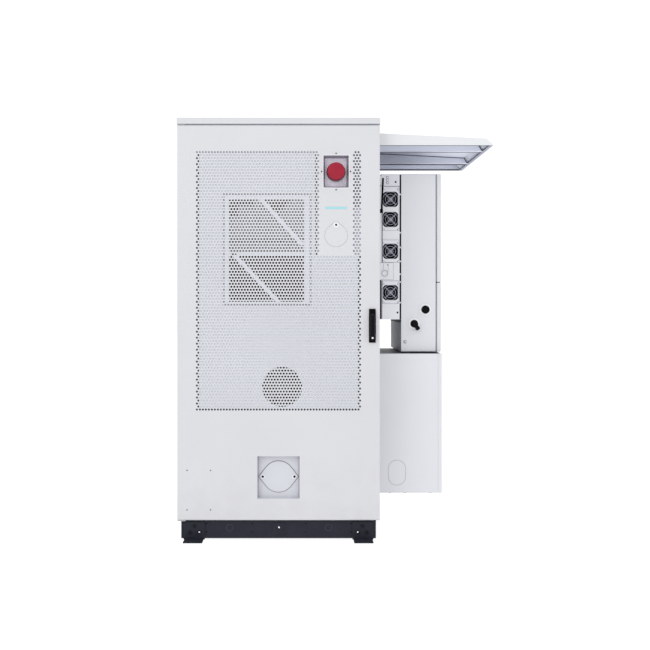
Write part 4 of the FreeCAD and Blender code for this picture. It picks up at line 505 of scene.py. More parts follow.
def rounded(width, height, radius, steps=5):
    """(x, z) points of a rectangle with rounded corners about the origin."""
    points = []
    for corner, (sx, sz) in enumerate(((1, 1), (-1, 1), (-1, -1), (1, -1))):
        for step in range(steps + 1):
            turn = math.pi / 2 * (corner + step / steps)
            points.append((sx * (width / 2 - radius) + radius * math.cos(turn),
                           sz * (height / 2 - radius) + radius * math.sin(turn)))
    return points


def corners(x0, x1, z0, z1):
    return [(x0, z0), (x1, z0), (x1, z1), (x0, z1)]


def at(points, x, y, z):
    """Upright ring of points at depth y from (x, z) points about a centre."""
    return [(x + px, y, z + pz) for px, pz in points]


def frame_ring(bm, outer, inner, place, depths):
    """Flat upright frame between two outlines of the same count."""
    x, z = place
    y0, y1 = depths
    belt(bm, [at(outer, x, y1, z), at(outer, x, y0, z), at(inner, x, y0, z), at(inner, x, y1, z)])


def upright_plate(bm, outline, place, depths, edge=0.0):
    """Plate of a rounded outline with its front edge eased."""
    x, z = place
    y0, y1 = depths
    rings = [at(outline, x, y1, z), at(outline, x, y0 + edge, z)]
    if edge:
        shrink = [(px - math.copysign(min(edge, abs(px)), px), pz - math.copysign(min(edge, abs(pz)), pz))
                  for px, pz in outline]
        rings.append(at(shrink, x, y0, z))
    loft(bm, rings)


def plates(name, outline, places, depths, edge, material, body="cabinet", slot=None):
    """Equal plates as one piece."""
    bm = bmesh.new()
    for place in places:
        upright_plate(bm, outline, place, depths, edge)
    return piece_from(bm, name, material, body, slot)


def ring_frame(name, outer, inner, place, depths, material, body="cabinet", slot=None):
    bm = bmesh.new()
    frame_ring(bm, outer, inner, place, depths)
    return piece_from(bm, name, material, body, slot)


def hoop(name, outer, inner, steps, place, depths, material, body="cabinet", slot=None):
    """Flat upright ring between two radii."""
    outlines = [rounded(2 * radius, 2 * radius, radius - 0.1, steps) for radius in (outer, inner)]
    return ring_frame(name, *outlines, place, depths, material, body, slot)


class Tree:
    """Geometry Nodes tree with named inputs."""

    def __init__(self, name, inputs):
        self.group = bpy.data.node_groups.new(name, "GeometryNodeTree")
        face = self.group.interface
        face.new_socket("Geometry", in_out="INPUT", socket_type="NodeSocketGeometry")
        self.sockets = {}
        for label, kind in inputs.items():
            self.sockets[label] = face.new_socket(label, in_out="INPUT", socket_type="NodeSocket" + kind)
        face.new_socket("Geometry", in_out="OUTPUT", socket_type="NodeSocketGeometry")
        self.inputs = self.group.nodes.new("NodeGroupInput").outputs
        self.output = self.group.nodes.new("NodeGroupOutput").inputs

    def node(self, kind, settings=None, values=None):
        """Add a node: its settings first, then the values or links of its sockets."""
        node = self.group.nodes.new(kind)
        for key, setting in (settings or {}).items():
            setattr(node, key, setting)
        for key, value in (values or {}).items():
            if isinstance(value, bpy.types.NodeSocket):
                self.group.links.new(value, node.inputs[key])
            else:
                node.inputs[key].default_value = value
        return node

    def math(self, operation, first, second=0.0):
        return self.node("ShaderNodeMath", {"operation": operation}, {0: first, 1: second}).outputs[0]

    def join(self, *parts):
        joined = self.node("GeometryNodeJoinGeometry")
        for part in parts:
            self.group.links.new(part, joined.inputs[0])
        return joined.outputs[0]

    def copies(self, points, shape, **values):
        """The shape on every point."""
        values.update({"Points": points, "Instance": shape})
        return self.node("GeometryNodeInstanceOnPoints", values=values).outputs[0]

    def real(self, geometry):
        return self.node("GeometryNodeRealizeInstances", values={"Geometry": geometry}).outputs[0]

    def shape(self, label):
        """The mesh of the object that an input names."""
        settings = {"transform_space": "ORIGINAL"}
        values = {"Object": self.inputs[label]}
        return self.node("GeometryNodeObjectInfo", settings, values).outputs["Geometry"]

    def vector(self, x=0.0, y=0.0, z=0.0):
        return self.node("ShaderNodeCombineXYZ", values={0: x, 1: y, 2: z}).outputs[0]

    def facing(self):
        """Turn from upright to the facing of each point."""
        vector = {"data_type": "FLOAT_VECTOR"}
        facing = self.node("GeometryNodeInputNamedAttribute", vector, {"Name": "facing"})
        values = {"Vector": facing.outputs["Attribute"]}
        return self.node("FunctionNodeAlignRotationToVector", {"axis": "Z"}, values).outputs[0]

    def end(self, geometry):
        """Make the instances real, give them their finish and send them out."""
        values = {"Geometry": self.real(geometry), "Material": self.inputs["Finish"]}
        dressed = self.node("GeometryNodeSetMaterial", values=values)
        self.group.links.new(dressed.outputs[0], self.output[0])

    def mesh(self, name, seed, values):
        """The plain mesh that the tree makes on a seed mesh with these inputs."""
        holder = bpy.data.objects.new(name, seed)
        bpy.context.scene.collection.objects.link(holder)
        modifier = holder.modifiers.new(name, "NODES")
        modifier.node_group = self.group
        for label, value in values.items():
            modifier[self.sockets[label].identifier] = value
        bpy.context.view_layer.update()
        shown = holder.evaluated_get(bpy.context.evaluated_depsgraph_get())
        mesh = bpy.data.meshes.new_from_object(shown)
        mesh.name = name
        bpy.data.objects.remove(holder)
        return mesh


# Fasteners and other repeats
def fastener_tree():
    """One fastener on every point, turned to the point's facing."""
    tree = Tree("fasteners", {"Fastener": "Object", "Size": "Float", "Finish": "Material"})
    tree.end(tree.copies(tree.inputs["Geometry"], tree.shape("Fastener"), Rotation=tree.facing(),
                         Scale=tree.inputs["Size"]))
    return tree


def guard_tree():
    """Wire fan guard on every point: rings about a centre and arms across them."""
    tree = Tree("wire_guards", {"Radius": "Float", "Rings": "Int", "Arms": "Int", "Wire": "Float",
                                "Arm Wire": "Float", "Finish": "Material"})
    given = tree.inputs
    index = tree.node("GeometryNodeInputIndex").outputs[0]
    centres = tree.node("GeometryNodePoints", values={"Count": given["Rings"]}).outputs[0]
    number = tree.math("ADD", index, 1.0)
    reach = tree.math("DIVIDE", tree.math("MULTIPLY", number, given["Radius"]), given["Rings"])
    ring = tree.node("GeometryNodeCurvePrimitiveCircle", values={"Resolution": 32, "Radius": 1.0}).outputs[0]
    rings = tree.real(tree.copies(centres, ring, Scale=reach))
    centres = tree.node("GeometryNodePoints", values={"Count": given["Arms"]}).outputs[0]
    share = tree.math("DIVIDE", index, given["Arms"])
    turn = tree.math("ADD", tree.math("MULTIPLY", share, math.pi), math.pi / 4)
    spin = tree.vector(z=turn)
    far = tree.vector(x=given["Radius"])
    near = tree.vector(x=tree.math("MULTIPLY", given["Radius"], -1.0))
    arm = tree.node("GeometryNodeCurvePrimitiveLine", values={"Start": near, "End": far}).outputs[0]
    arms = tree.real(tree.copies(centres, arm, Rotation=spin))
    wires = []
    for curve, wire in ((rings, given["Wire"]), (arms, given["Arm Wire"])):
        profile = tree.node("GeometryNodeCurvePrimitiveCircle", values={"Resolution": 6, "Radius": wire})
        wires.append(tree.node("GeometryNodeCurveToMesh", values={
            "Curve": curve, "Profile Curve": profile.outputs[0], "Fill Caps": True}).outputs[0])
    tree.end(tree.copies(given["Geometry"], tree.join(*wires), Rotation=tree.facing()))
    return tree


def slat_tree():
    """A row of equal slats that starts at every point."""
    tree = Tree("slats", {"Count": "Int", "Step": "Vector", "Slat": "Vector", "Finish": "Material"})
    given = tree.inputs
    values = {"Count": given["Count"], "Offset": given["Step"]}
    line = tree.node("GeometryNodeMeshLine", {"mode": "OFFSET"}, values)
    slat = tree.node("GeometryNodeMeshCube", values={"Size": given["Slat"]}).outputs[0]
    tree.end(tree.copies(given["Geometry"], tree.copies(line.outputs[0], slat)))
    return tree


def metres(values):
    return [MM * value for value in values]


def spots(places, facing):
    """Seed mesh of loose points that face one way."""
    mesh = bpy.data.meshes.new("spots")
    mesh.from_pydata([metres(place) for place in places], [], [])
    ways = mesh.attributes.new("facing", "FLOAT_VECTOR", "POINT")
    for way in ways.data:
        way.vector = facing
    return mesh


def turned(levels, sides, name):
    """Turned shape about Z from (radius, height) levels; a zero radius closes it with a point."""
    bm = bmesh.new()
    spun(bm, [circle(radius, height, sides) for radius, height in levels])
    bmesh.ops.recalc_face_normals(bm, faces=bm.faces)
    return pattern(bm, name)


FASTENERS = fastener_tree()
GUARDS = guard_tree()
SLATS = slat_tree()

# Fasteners of radius 1, as (radius, height) levels
SOCKET_SCREW = [(0, 0.3), (0.5, 0.3), (0.5, 0.8), (0.85, 0.75), (1.0, 0.4), (1.0, 0), (0, 0)]
PAN_SCREW = [(0, 0.5), (0.35, 0.5), (0.4, 0.75), (0.8, 0.55), (1.0, 0.15), (1.0, 0), (0, 0)]
HEX_BOLT = [(0, 0.8), (0.8, 0.8), (0.95, 0.65), (0.95, 0.16), (1.3, 0.16), (1.3, 0), (0, 0)]
RIVET = [(0, 0.45), (0.55, 0.38), (1.0, 0.1), (1.0, 0), (0, 0)]
FLUSH_SCREW = [(0, 0.06), (0.35, 0.06), (0.42, 0.15), (0.85, 0.15), (1.0, 0), (0, 0)]
WASHER = [(0.45, 0), (0.45, 0.12), (0.9, 0.12), (1.0, 0.06), (1.0, 0), (0.45, 0)]
socket_screw = turned(SOCKET_SCREW, 8, "socket_screw")
pan_screw = turned(PAN_SCREW, 10, "pan_screw")
hex_bolt = turned(HEX_BOLT, 6, "hex_bolt")
rivet = turned(RIVET, 8, "rivet")
flush_screw = turned(FLUSH_SCREW, 10, "flush_screw")
washer = turned(WASHER, 20, "washer")

TO_FRONT = (0, -1, 0)
TO_BACK = (0, 1, 0)
TO_RIGHT = (1, 0, 0)
TO_FLOOR = (0, 0, -1)


def fit(name, fastener, size, places, facing, material, body="cabinet", slot=None):
    """Fasteners of one kind on all places."""
    values = {"Fastener": fastener, "Size": size * MM, "Finish": material}
    return finished(FASTENERS.mesh(name, spots(places, facing), values), name, material, body, slot)


def guard(name, radius, rings, wire, arm_wire, places, facing, material, body="cabinet"):
    values = {"Radius": radius * MM, "Rings": rings, "Arms": 2, "Wire": wire * MM, "Arm Wire": arm_wire * MM,
              "Finish": material}
    return finished(GUARDS.mesh(name, spots(places, facing), values), name, material, body)


def slats(name, count, step, slat, places, material, body="cabinet"):
    values = {"Count": count, "Step": metres((step, 0, 0)), "Slat": metres(slat), "Finish": material}
    return finished(SLATS.mesh(name, spots(places, TO_FRONT), values), name, material, body)


def evenly(start, end, count):
    return [start + (end - start) * step / (count - 1) for step in range(count)]


# Perforated field
def holed_cell():
    """One square of the punched sheet with its hole, front at y 0 and the sheet's thickness deep."""
    bm = bmesh.new()
    half = HOLE_PITCH / 2
    rings = []
    for y in (0.0, SHEET):
        square = []
        hole = []
        for step in range(HOLE_SIDES):
            turn = 2 * math.pi * step / HOLE_SIDES
            reach = half / max(abs(math.cos(turn)), abs(math.sin(turn)))
            square.append(bm.verts.new(metres((reach * math.cos(turn), y, reach * math.sin(turn)))))
            hole.append(bm.verts.new(metres((HOLE_R * math.cos(turn), y, HOLE_R * math.sin(turn)))))
        rings.append((square, hole))
    (front_square, front_hole), (back_square, back_hole) = rings
    for i in range(HOLE_SIDES):
        j = (i + 1) % HOLE_SIDES
        bm.faces.new([front_square[i], front_square[j], front_hole[j], front_hole[i]])
        bm.faces.new([back_square[j], back_square[i], back_hole[i], back_hole[j]])
        bm.faces.new([front_hole[i], front_hole[j], back_hole[j], back_hole[i]])
    return pattern(bm, "holed_cell")


def punched_tree():
    """Rows of holed cells, alternate rows set half a pitch along, with the blank place left out."""
    tree = Tree("punched_sheet", {"Cell": "Object", "Columns": "Int", "Band Rows": "Int", "First Row": "Int",
                                  "Pitch": "Float", "Left": "Float", "Top": "Float", "Front": "Float",
                                  "Blank Rows": "Int", "Blank First": "Int", "Blank Last": "Int",
                                  "Finish": "Material"})
    given = tree.inputs
    count = tree.math("MULTIPLY", given["Columns"], given["Band Rows"])
    line = tree.node("GeometryNodePoints", values={"Count": count}).outputs[0]
    index = tree.node("GeometryNodeInputIndex").outputs[0]
    column = tree.math("MODULO", index, given["Columns"])
    row_in_band = tree.math("FLOOR", tree.math("DIVIDE", index, given["Columns"]))
    row = tree.math("ADD", row_in_band, given["First Row"])
    odd = tree.math("MODULO", row, 2.0)
    shift = tree.math("ADD", tree.math("ADD", column, 0.5), tree.math("MULTIPLY", odd, 0.5))
    x = tree.math("ADD", given["Left"], tree.math("MULTIPLY", shift, given["Pitch"]))
    z = tree.math("SUBTRACT", given["Top"], tree.math("MULTIPLY", tree.math("ADD", row, 0.5), given["Pitch"]))
    place = tree.vector(x, given["Front"], z)
    points = tree.node("GeometryNodeSetPosition", values={"Geometry": line, "Position": place}).outputs[0]
    high = tree.math("LESS_THAN", row, given["Blank Rows"])
    after = tree.math("GREATER_THAN", column, tree.math("SUBTRACT", given["Blank First"], 0.5))
    last = tree.math("SUBTRACT", given["Blank Last"], odd)
    before = tree.math("LESS_THAN", column, tree.math("ADD", last, 0.5))
    blank = tree.math("MULTIPLY", tree.math("MULTIPLY", high, after), before)
    values = {"Geometry": points, "Selection": blank}
    kept = tree.node("GeometryNodeDeleteGeometry", {"domain": "POINT"}, values)
    whole = tree.real(tree.copies(kept.outputs[0], tree.shape("Cell")))
    joined = tree.node("GeometryNodeMergeByDistance", values={"Geometry": whole, "Distance": 0.02 * MM})
    tree.end(joined.outputs[0])
    return tree


def perforated_field():
    low, high = in_mm(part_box("vent_panel"))
    tree = punched_tree()
    cell = holed_cell()
    band = ROWS // BANDS
    for number in range(BANDS):
        name = "punched_field_%d" % (number + 1)
        mesh = tree.mesh(name, bpy.data.meshes.new(name), {
            "Cell": cell, "Columns": COLUMNS, "Band Rows": band, "First Row": number * band,
            "Pitch": HOLE_PITCH * MM, "Left": low.x * MM, "Top": high.z * MM, "Front": low.y * MM,
            "Blank Rows": BLANK_ROWS, "Blank First": BLANK_FIRST, "Blank Last": BLANK_LAST,
            "Finish": cabinet_paint})
        finished(mesh, mesh.name, cabinet_paint, "door")
    bpy.data.objects.remove(cell)
    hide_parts("vent_panel")
    margins(low, high)


def margins(low, high):
    """Half cells that fill the staggered ends of the rows, and the blank plate for the controls."""
    half = HOLE_PITCH / 2
    blank_left = low.x + BLANK_FIRST * HOLE_PITCH
    blank_right = low.x + (BLANK_LAST + 1) * HOLE_PITCH
    boxes = []
    for row in range(ROWS):
        starts = [low.x] if row % 2 else [high.x - half]
        if row % 2 == 0 and row < BLANK_ROWS:
            starts += [blank_left, blank_right - half]
        z1 = high.z - row * HOLE_PITCH
        boxes += [(start, start + half, low.y, high.y, z1 - HOLE_PITCH, z1) for start in starts]
    blocks("field_margins", boxes, cabinet_paint, "door")
    plate_low = high.z - BLANK_ROWS * HOLE_PITCH
    control_plate((blank_left + half, blank_right - half), (plate_low, high.z), (low.y, high.y))


def control_plate(plate_x, plate_z, depths):
    """Unpunched place with its openings for the stop button and the light strip."""
    (x0, x1), (z0, z1) = plate_x, plate_z
    hole_x = (210, 329)
    hole_z = (1650, 1801)
    strip_x = (219.2, 319.8)
    strip_z = (1549.6, 1560.4)
    places = [(x0, hole_x[0], *hole_z), (hole_x[1], x1, *hole_z), (x0, x1, hole_z[1], z1),
              (x0, x1, strip_z[1], hole_z[0]), (x0, strip_x[0], *strip_z), (strip_x[1], x1, *strip_z),
              (x0, x1, z0, strip_z[0])]
    bars("control_plate", places, depths, cabinet_paint, "door")


# Behind the punched sheet
COIL_X = (-232, 120)
COIL_Z = (1116, 1594)
SPLIT_Z = 1335
SPLIT_HEIGHT = 12
STRUTS = (((113, 1381), (-80, 1594)), ((-1, 1116), (-213, 1342)))
STRUT_HALF = 12.5
COLLAR_DEPTHS = (-522.8, -522.0)
GAP_SHADE_DEPTHS = (-521.6, -520.8)
FIELD_SHADE_DEPTHS = (-522.9, -522.1)
CHAMBER_SHADE_DEPTHS = (-519, -516)


def coil_collar():
    """Painted face of the frame round the coil's opening, its bar and struts, and a slate sheet in the gap
    round it for the gap's painted shade.
    """
    outer = corners(-251, 145, 1108, 1613)
    bm = bmesh.new()
    frame_ring(bm, outer, corners(*COIL_X, *COIL_Z), (0, 0), COLLAR_DEPTHS)
    slab(bm, *COIL_X, *COLLAR_DEPTHS, SPLIT_Z, SPLIT_Z + SPLIT_HEIGHT)
    for (xa, za), (xb, zb) in STRUTS:
        strut = [(xa - STRUT_HALF, za), (xa + STRUT_HALF, za), (xb + STRUT_HALF, zb), (xb - STRUT_HALF, zb)]
        loft(bm, [at(strut, 0, y, 0) for y in COLLAR_DEPTHS])
    piece_from(bm, "coil_collar", backing_paint, "door")
    # Painted shade: a slate sheet in the gap round the collar.
    ring_frame("collar_gap_board", corners(-261, 155, 1098, 1623), outer, (0, 0), GAP_SHADE_DEPTHS,
               soft_line_paint, "door")


def field_shades():
    """Dark strips at the edges of the tray, beside the controls and along the top, for the shade behind the
    field's border holes, and a black pad behind the lower opening for the dark chamber behind it; all painted
    shade.
    """
    edges = [(-388, -371.8, 619, 1808), (371.8, 388, 619, 1320), (-388, 388, 605.5, 618.5)]
    tape = [(180, 192, 1334, 1808), (-388, 192, 1809.5, 1822)]
    # Painted shade: dark strips behind the border holes of the punched field.
    bars("tray_foam", edges, FIELD_SHADE_DEPTHS, edge_rubber, "door")
    bars("tray_tape", tape, FIELD_SHADE_DEPTHS, soft_line_paint, "door")
    bars("control_foam", [(352, 388, 1560, 1822)], FIELD_SHADE_DEPTHS, line_paint, "door")
    bars("control_board", [(352, 388, 1334, 1559)], FIELD_SHADE_DEPTHS, soft_line_paint, "door")
    # Painted shade: a black sheet behind the lower opening for the dark fan chamber.
    pad = (COIL_X[0] + 0.5, COIL_X[1] - 0.5, COIL_Z[0] + 0.5, SPLIT_Z - 0.5)
    bars("filter_pad", [pad], CHAMBER_SHADE_DEPTHS, foam_rubber, "door")


perforated_field()
coil_collar()
field_shades()


# Outside of the door
CONTROLS = (269.5, 1725.5)
CONTROL_SCREWS = (67.5, 85.0)
PORT = (269.5, 1426.6)
PORT_TIP = (52.4, 14.0, 49.1)
HOSE = (0.0, 293.7)
HOSE_EARS = (72.5, 8.0, 83.0)
HOSE_HALF = (98.7, 99.4)
HOSE_FLOOR = -495.0
HOSE_SCREW_X = 74.5
DOOR_FACE = -525.0
BUTTON_PROFILE = [(0, 0.0), (30, 0.1), (36, 0.5), (38.4, 1.4), (39.8, 3.2), (40.4, 6.0), (44.8, 44.0),
                  (44.4, 45.6), (43.2, 46.0), (32.5, 46.0), (32.5, 20.0), (0, 20.0)]
BUTTON_SIDES = 64
BUTTON_FACE = 3.5


def eared(radius, ear, reach, ways, grow=0.0, steps=10):
    """(x, z) outline of a disc with rounded ears at the given angles and straight edges between."""
    lean = math.acos((radius - ear) / reach)
    points = []
    for number, way in enumerate(ways):
        after = ways[number + 1] if number + 1 < len(ways) else ways[0] + 2 * math.pi
        for step in range(steps + 1):
            turn = way + lean * (2 * step / steps - 1)
            points.append((reach * math.cos(way) + (ear + grow) * math.cos(turn),
                           reach * math.sin(way) + (ear + grow) * math.sin(turn)))
        for step in range(2 * steps + 1):
            turn = way + lean + (after - way - 2 * lean) * step / (2 * steps)
            points.append(((radius + grow) * math.cos(turn), (radius + grow) * math.sin(turn)))
    return points


def stop_button():
    """Red mushroom head with an eased face and a hollow back, in place of the plain cone; its side is a
    darker red for painted shade.
    """
    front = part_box("estop_head")[0].y / MM
    bm = bmesh.new()
    rings = [circle(radius, depth, BUTTON_SIDES) for radius, depth in BUTTON_PROFILE]
    spun(bm, [[(CONTROLS[0] + x, front + depth, CONTROLS[1] + z) for x, z, depth in ring] for ring in rings])
    head = piece_from(bm, "stop_button", button_plastic, "estop_button")
    smooth(head)
    # Painted shade: faces behind the front face take the darker red.
    head.data.materials.append(button_skirt)
    for face in head.data.polygons:
        if face.center.y / MM > front + BUTTON_FACE:
            face.material_index = 1
    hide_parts("estop_head")


def smooth(piece, angle=35):
    """Soft shading across gentle edges only."""
    mesh = piece.data
    mesh.shade_smooth()
    mesh.set_sharp_from_angle(angle=math.radians(angle))


def door_front():
    """Screws and rims of the stop button, the service port and the hose recess, the service port's gasket,
    and four rivets. The light rim round the stop recess is a painted highlight, and the dark lines round the
    hose cover and in the hose recess's corners are painted shade.
    """
    face = DOOR_FACE
    x, z = CONTROLS
    reach_x, reach_z = CONTROL_SCREWS
    around = [(x - reach_x, face, z), (x + reach_x, face, z), (x, face, z - reach_z), (x, face, z + reach_z)]
    fit("control_screws", socket_screw, 3.2, around, TO_FRONT, dark_screw, "door")
    # Painted highlight: a light rim round the stop button's recess.
    ring_frame("stop_recess_rim", rounded(124, 156, 5), rounded(119, 151, 3), CONTROLS, (face - 0.9, face),
               rim_paint, "door")
    tip = [math.pi / 2]
    ring_frame("port_gasket", eared(*PORT_TIP, tip, 1.3), eared(*PORT_TIP, tip, -3.0), PORT,
               (face - 0.4, face), seal_grey, "door")
    pivot_z = PORT[1] + PORT_TIP[2]
    ring_place = (x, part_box("port_cover")[0].y / MM, pivot_z)
    fit("port_screw_ring", washer, 12.0, [ring_place], TO_FRONT, rim_paint, "port_lid")
    screw_place = (x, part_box("port_cup")[0].y / MM, pivot_z)
    fit("port_screw", socket_screw, 5.2, [screw_place], TO_FRONT, dark_screw, "door")
    ears = [0.0, math.pi]
    floor = HOSE_FLOOR
    # Painted shade: a dark line round the hose cover's outline.
    ring_frame("hose_gasket", eared(*HOSE_EARS, ears, 2.4), eared(*HOSE_EARS, ears, -2.0), HOSE,
               (floor - 1.6, floor), dark_line_paint, "door")
    outer, inner = [rounded(2 * (HOSE_HALF[0] - inset), 2 * (HOSE_HALF[1] - inset), 3)
                    for inset in (1.0, 2.6)]
    # Painted shade: a dark line in the hose recess's corners.
    ring_frame("hose_recess_corners", outer, inner, HOSE, (floor - 1.2, floor), dark_line_paint, "door")
    rings = [(side * HOSE_SCREW_X, floor - 3, HOSE[1]) for side in (-1, 1)]
    fit("hose_screw_rings", washer, 10.5, rings, TO_FRONT, rim_paint, "door")
    heads = [(side * HOSE_SCREW_X, floor - 5, HOSE[1]) for side in (-1, 1)]
    fit("hose_screws", socket_screw, 5.7, heads, TO_FRONT, dark_screw, "door")
    plate_rivets = [(x, face, z) for x in (-427.4, -317.7) for z in (327.3, 142.5)]
    fit("door_rivets", rivet, 3.0, plate_rivets, TO_FRONT, dark_screw, "door")


def door_handle():
    """Raised rim round the handle, its end caps, and the ridge, lock rim and painted highlight line on the
    lever.
    """
    low, high = in_mm(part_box("handle_base"))
    x = (low.x + high.x) / 2
    z = (low.z + high.z) / 2
    width = high.x - low.x
    height = high.z - low.z
    radius = width / 2
    ring_frame("handle_rim", rounded(width + 12, height + 12, radius + 5, 12),
               rounded(width - 1, height - 1, radius - 1, 12), (x, z), (DOOR_FACE - 1.2, DOOR_FACE),
               cabinet_paint, "door")
    ends = [(x, z + end * (height / 2 - 11)) for end in (-1, 1)]
    plates("handle_caps", rounded(width - 6, 12, 5), ends, (low.y - 0.8, low.y), 0.4, dark_plastic, "door")
    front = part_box("handle_lever")[0].y / MM
    plates("lever_ridge", rounded(9, 74, 4.4), [(x, 1016)], (front - 1.6, front), 0.9, black_plastic, "lever")
    hoop("lock_rim", 7.5, 4.5, 8, (x, 947.5), (front - 0.8, front), dark_plastic, "lever")
    # Painted highlight: a lighter outline along the lever's edges.
    ring_frame("lever_line", rounded(18, 116, 8), rounded(15.6, 113.6, 7), (x, 1000.0), (front - 0.4, front),
               grey_line, "lever")


stop_button()
door_front()
door_handle()


# Inside of the door
FAN_CENTRE = (-56.0, 1455.0)
FAN_BOLTS = 78
FIN_STEP = 4.0
FIN = (2.4, 2.0, 256.0)
SHADOW_PLATE_TOP = 1593


def door_inside():
    """Fasteners of the inner panel, the guard over the inner fan, the coil's fins, and a black triangle and
    strips behind them for the coil's painted shadows.
    """
    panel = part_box("door_inner_panel")[1].y / MM
    rivets = [(x, panel, z) for x in (-446, 446) for z in evenly(180, 1860, 9)]
    rivets += [(x, panel, z) for x in evenly(-340, 340, 5) for z in (116, 1922)]
    fit("inner_panel_rivets", rivet, 4.0, rivets, TO_BACK, zinc_steel, "door")
    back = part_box("hvac_case")[1].y / MM
    fan_x, fan_z = FAN_CENTRE
    guard("inner_fan_guard", 104.0, 6, 1.2, 2.0, [(fan_x, back + 1.2, fan_z)], TO_BACK, zinc_steel, "door")
    screws = [(fan_x + sx * FAN_BOLTS, back, fan_z + sz * FAN_BOLTS) for sx in (-1, 1) for sz in (-1, 1)]
    screws += [(x, back, z) for x in (-280, 168) for z in evenly(640, 1672, 7)]
    fit("unit_screws", pan_screw, 4.2, screws, TO_BACK, zinc_steel, "door")
    slats("coil_fins", 88, FIN_STEP, FIN, [(-230.0, -512.6, 1464.5)], coil_coat, "door")
    # Painted shadow: a black triangle and strips behind the coil's fins for the dark shadows at its top.
    bm = bmesh.new()
    triangle = [(-73, 0), (-9, -62), (57, 0)]
    loft(bm, [at(triangle, 0, y, SHADOW_PLATE_TOP) for y in (-516, -517)])
    for x1, z0, z1 in ((-120, 1566, SHADOW_PLATE_TOP), (-190, 1520, 1566), (119.5, 1398, 1408)):
        slab(bm, -231.5, x1, -517, -516, z0, z1)
    piece_from(bm, "coil_baffle", foam_rubber, "door")


door_inside()


# Batteries and control box
PACK_ROWS = 5
PACK_X = 213.0
ROW_PITCH = 296.32
RACK_BASE = 133.0
PACK_FRONT = -240.5
PACK_HEIGHT = 238.3
CONTROL_FRONT = -236.5
BREAKER_Z = 1739.6


def battery_fronts():
    """Vents, connectors, lamps and ear screws of every battery module."""
    front = PACK_FRONT
    centres = [(side * PACK_X, RACK_BASE + row * ROW_PITCH + PACK_HEIGHT / 2) for row in range(PACK_ROWS)
               for side in (-1, 1)]
    vents = [(x - 105.0, front - 0.6, z) for x, z in centres]
    slats("pack_vents", 31, 7.0, (2.4, 1.2, 120.0), vents, collar_plastic)
    ears = [(x + sx * 191, front, z + sz * 106) for x, z in centres for sx in (-1, 1) for sz in (-1, 1)]
    fit("pack_screws", pan_screw, 5.0, ears, TO_FRONT, zinc_steel)
    sockets = (("pack_plus_sockets", -62, orange_plastic), ("pack_minus_sockets", 62, collar_plastic))
    for name, drop, plastic in sockets:
        fit(name, hex_bolt, 11.0, [(x - 170, front, z - drop) for x, z in centres], TO_FRONT, plastic)
    lamps = [(x + 170, front, z + 60 - 12 * step) for x, z in centres for step in range(4)]
    fit("pack_lamps", rivet, 2.2, lamps, TO_FRONT, green_light)


def control_front():
    """Breaker levers, lamps and screws on the control box."""
    front = CONTROL_FRONT
    bm = bmesh.new()
    for step in range(3):
        x = -260 + step * 45
        upright_plate(bm, rounded(36, 84, 3), (x, BREAKER_Z), (front - 15, front - 12), 0.8)
        upright_plate(bm, rounded(12, 26, 3), (x, BREAKER_Z + 10), (front - 26, front - 15), 1.2)
    piece_from(bm, "breaker_levers", black_plastic)
    screws = [(x, front, z) for x in (-416, -140, 140, 416) for z in (1628, 1851)]
    fit("control_box_screws", pan_screw, 5.0, screws, TO_FRONT, zinc_steel)
    lamps = [(x, front, 1810) for x in (-40, 0, 40)]
    fit("control_lamps", rivet, 6.0, lamps, TO_FRONT, green_light)


battery_fronts()
control_front()


# Inverter
FAN_DROPS = (125.0, 225.0, 382.5, 587.0)
FAN_X = 548.8
INVERTER_TOP = 1748.5
INVERTER_FACE = -265.0
SEAM_FACE = -251.0
COVER_X = 800.0
COVER_SCREWS = (882, 960, 1040, 1120, 1198, 1228, 1350, 1480, 1610, 1735)
COVER_ENDS = (882, 1198, 1228, 1735)
PLATES = ((1468.6, 1687.6), (1311.0, 1423.0), (1108.0, 1221.0))
PLATE_X = 550.5
SWITCH = (666.2, 1007.6)
CAP = (721.7, 1077.4)
CASE_SCREW = (620.7, 918.0)
GRIP_OFFSET = (13.5, -19.5)
GRIP_TURN = math.radians(-55)
TAB = (507.5, 1717.0)


def fan_fronts():
    """Guards, hubs and dark pads of the four fans."""
    face = INVERTER_FACE
    fans = [(FAN_X, INVERTER_TOP - drop) for drop in FAN_DROPS]
    guard("fan_guards", 37.4, 3, 1.3, 2.2, [(x, face + 2.4, z) for x, z in fans], TO_FRONT, guard_coat)
    fit("guard_hubs", rivet, 8.0, [(x, face + 0.6, z) for x, z in fans], TO_FRONT, guard_coat)
    pads = [(x - 41, x + 41, z - 41, z + 41) for x, z in fans]
    bars("fan_pads", pads, (-236.5, -234.5), foam_rubber)


def inverter_screws():
    """Screws, studs, bolts and their rings on the narrow face."""
    face = INVERTER_FACE
    ends = [z for low, high in PLATES for z in (low + 5, high - 16)]
    screws = [(x, face, z) for x in (514.0, 587.0) for z in ends]
    fit("plate_screws", pan_screw, 3.6, screws, TO_FRONT, bright_metal)
    fit("plate_screw_rings", washer, 5.4, screws, TO_FRONT, soft_line_paint)
    seam = [(598.0, SEAM_FACE, z) for z in (1649, 1459, 1386, 1317, 1253, 1214, 1112)]
    fit("seam_bolts", hex_bolt, 3.6, seam, TO_FRONT, bright_metal)
    studs = [(533.8, face, z) for z in (1732, 1718.5, 1705)]
    fit("tab_studs", rivet, 4.4, studs, TO_FRONT, bright_metal)
    fit("tab_stud_rings", washer, 7.0, studs, TO_FRONT, soft_line_paint)
    dots = [(574.2, face, 1709), (583.8, face, 1062.8)]
    fit("tray_screws", rivet, 5.0, dots, TO_FRONT, dark_plastic, slot="zinc_steel")
    case_place = (CASE_SCREW[0], face, CASE_SCREW[1])
    fit("case_screw_ring", washer, 8.5, [case_place], TO_FRONT, soft_line_paint)
    fit("case_screw", pan_screw, 5.0, [case_place], TO_FRONT, zinc_steel)


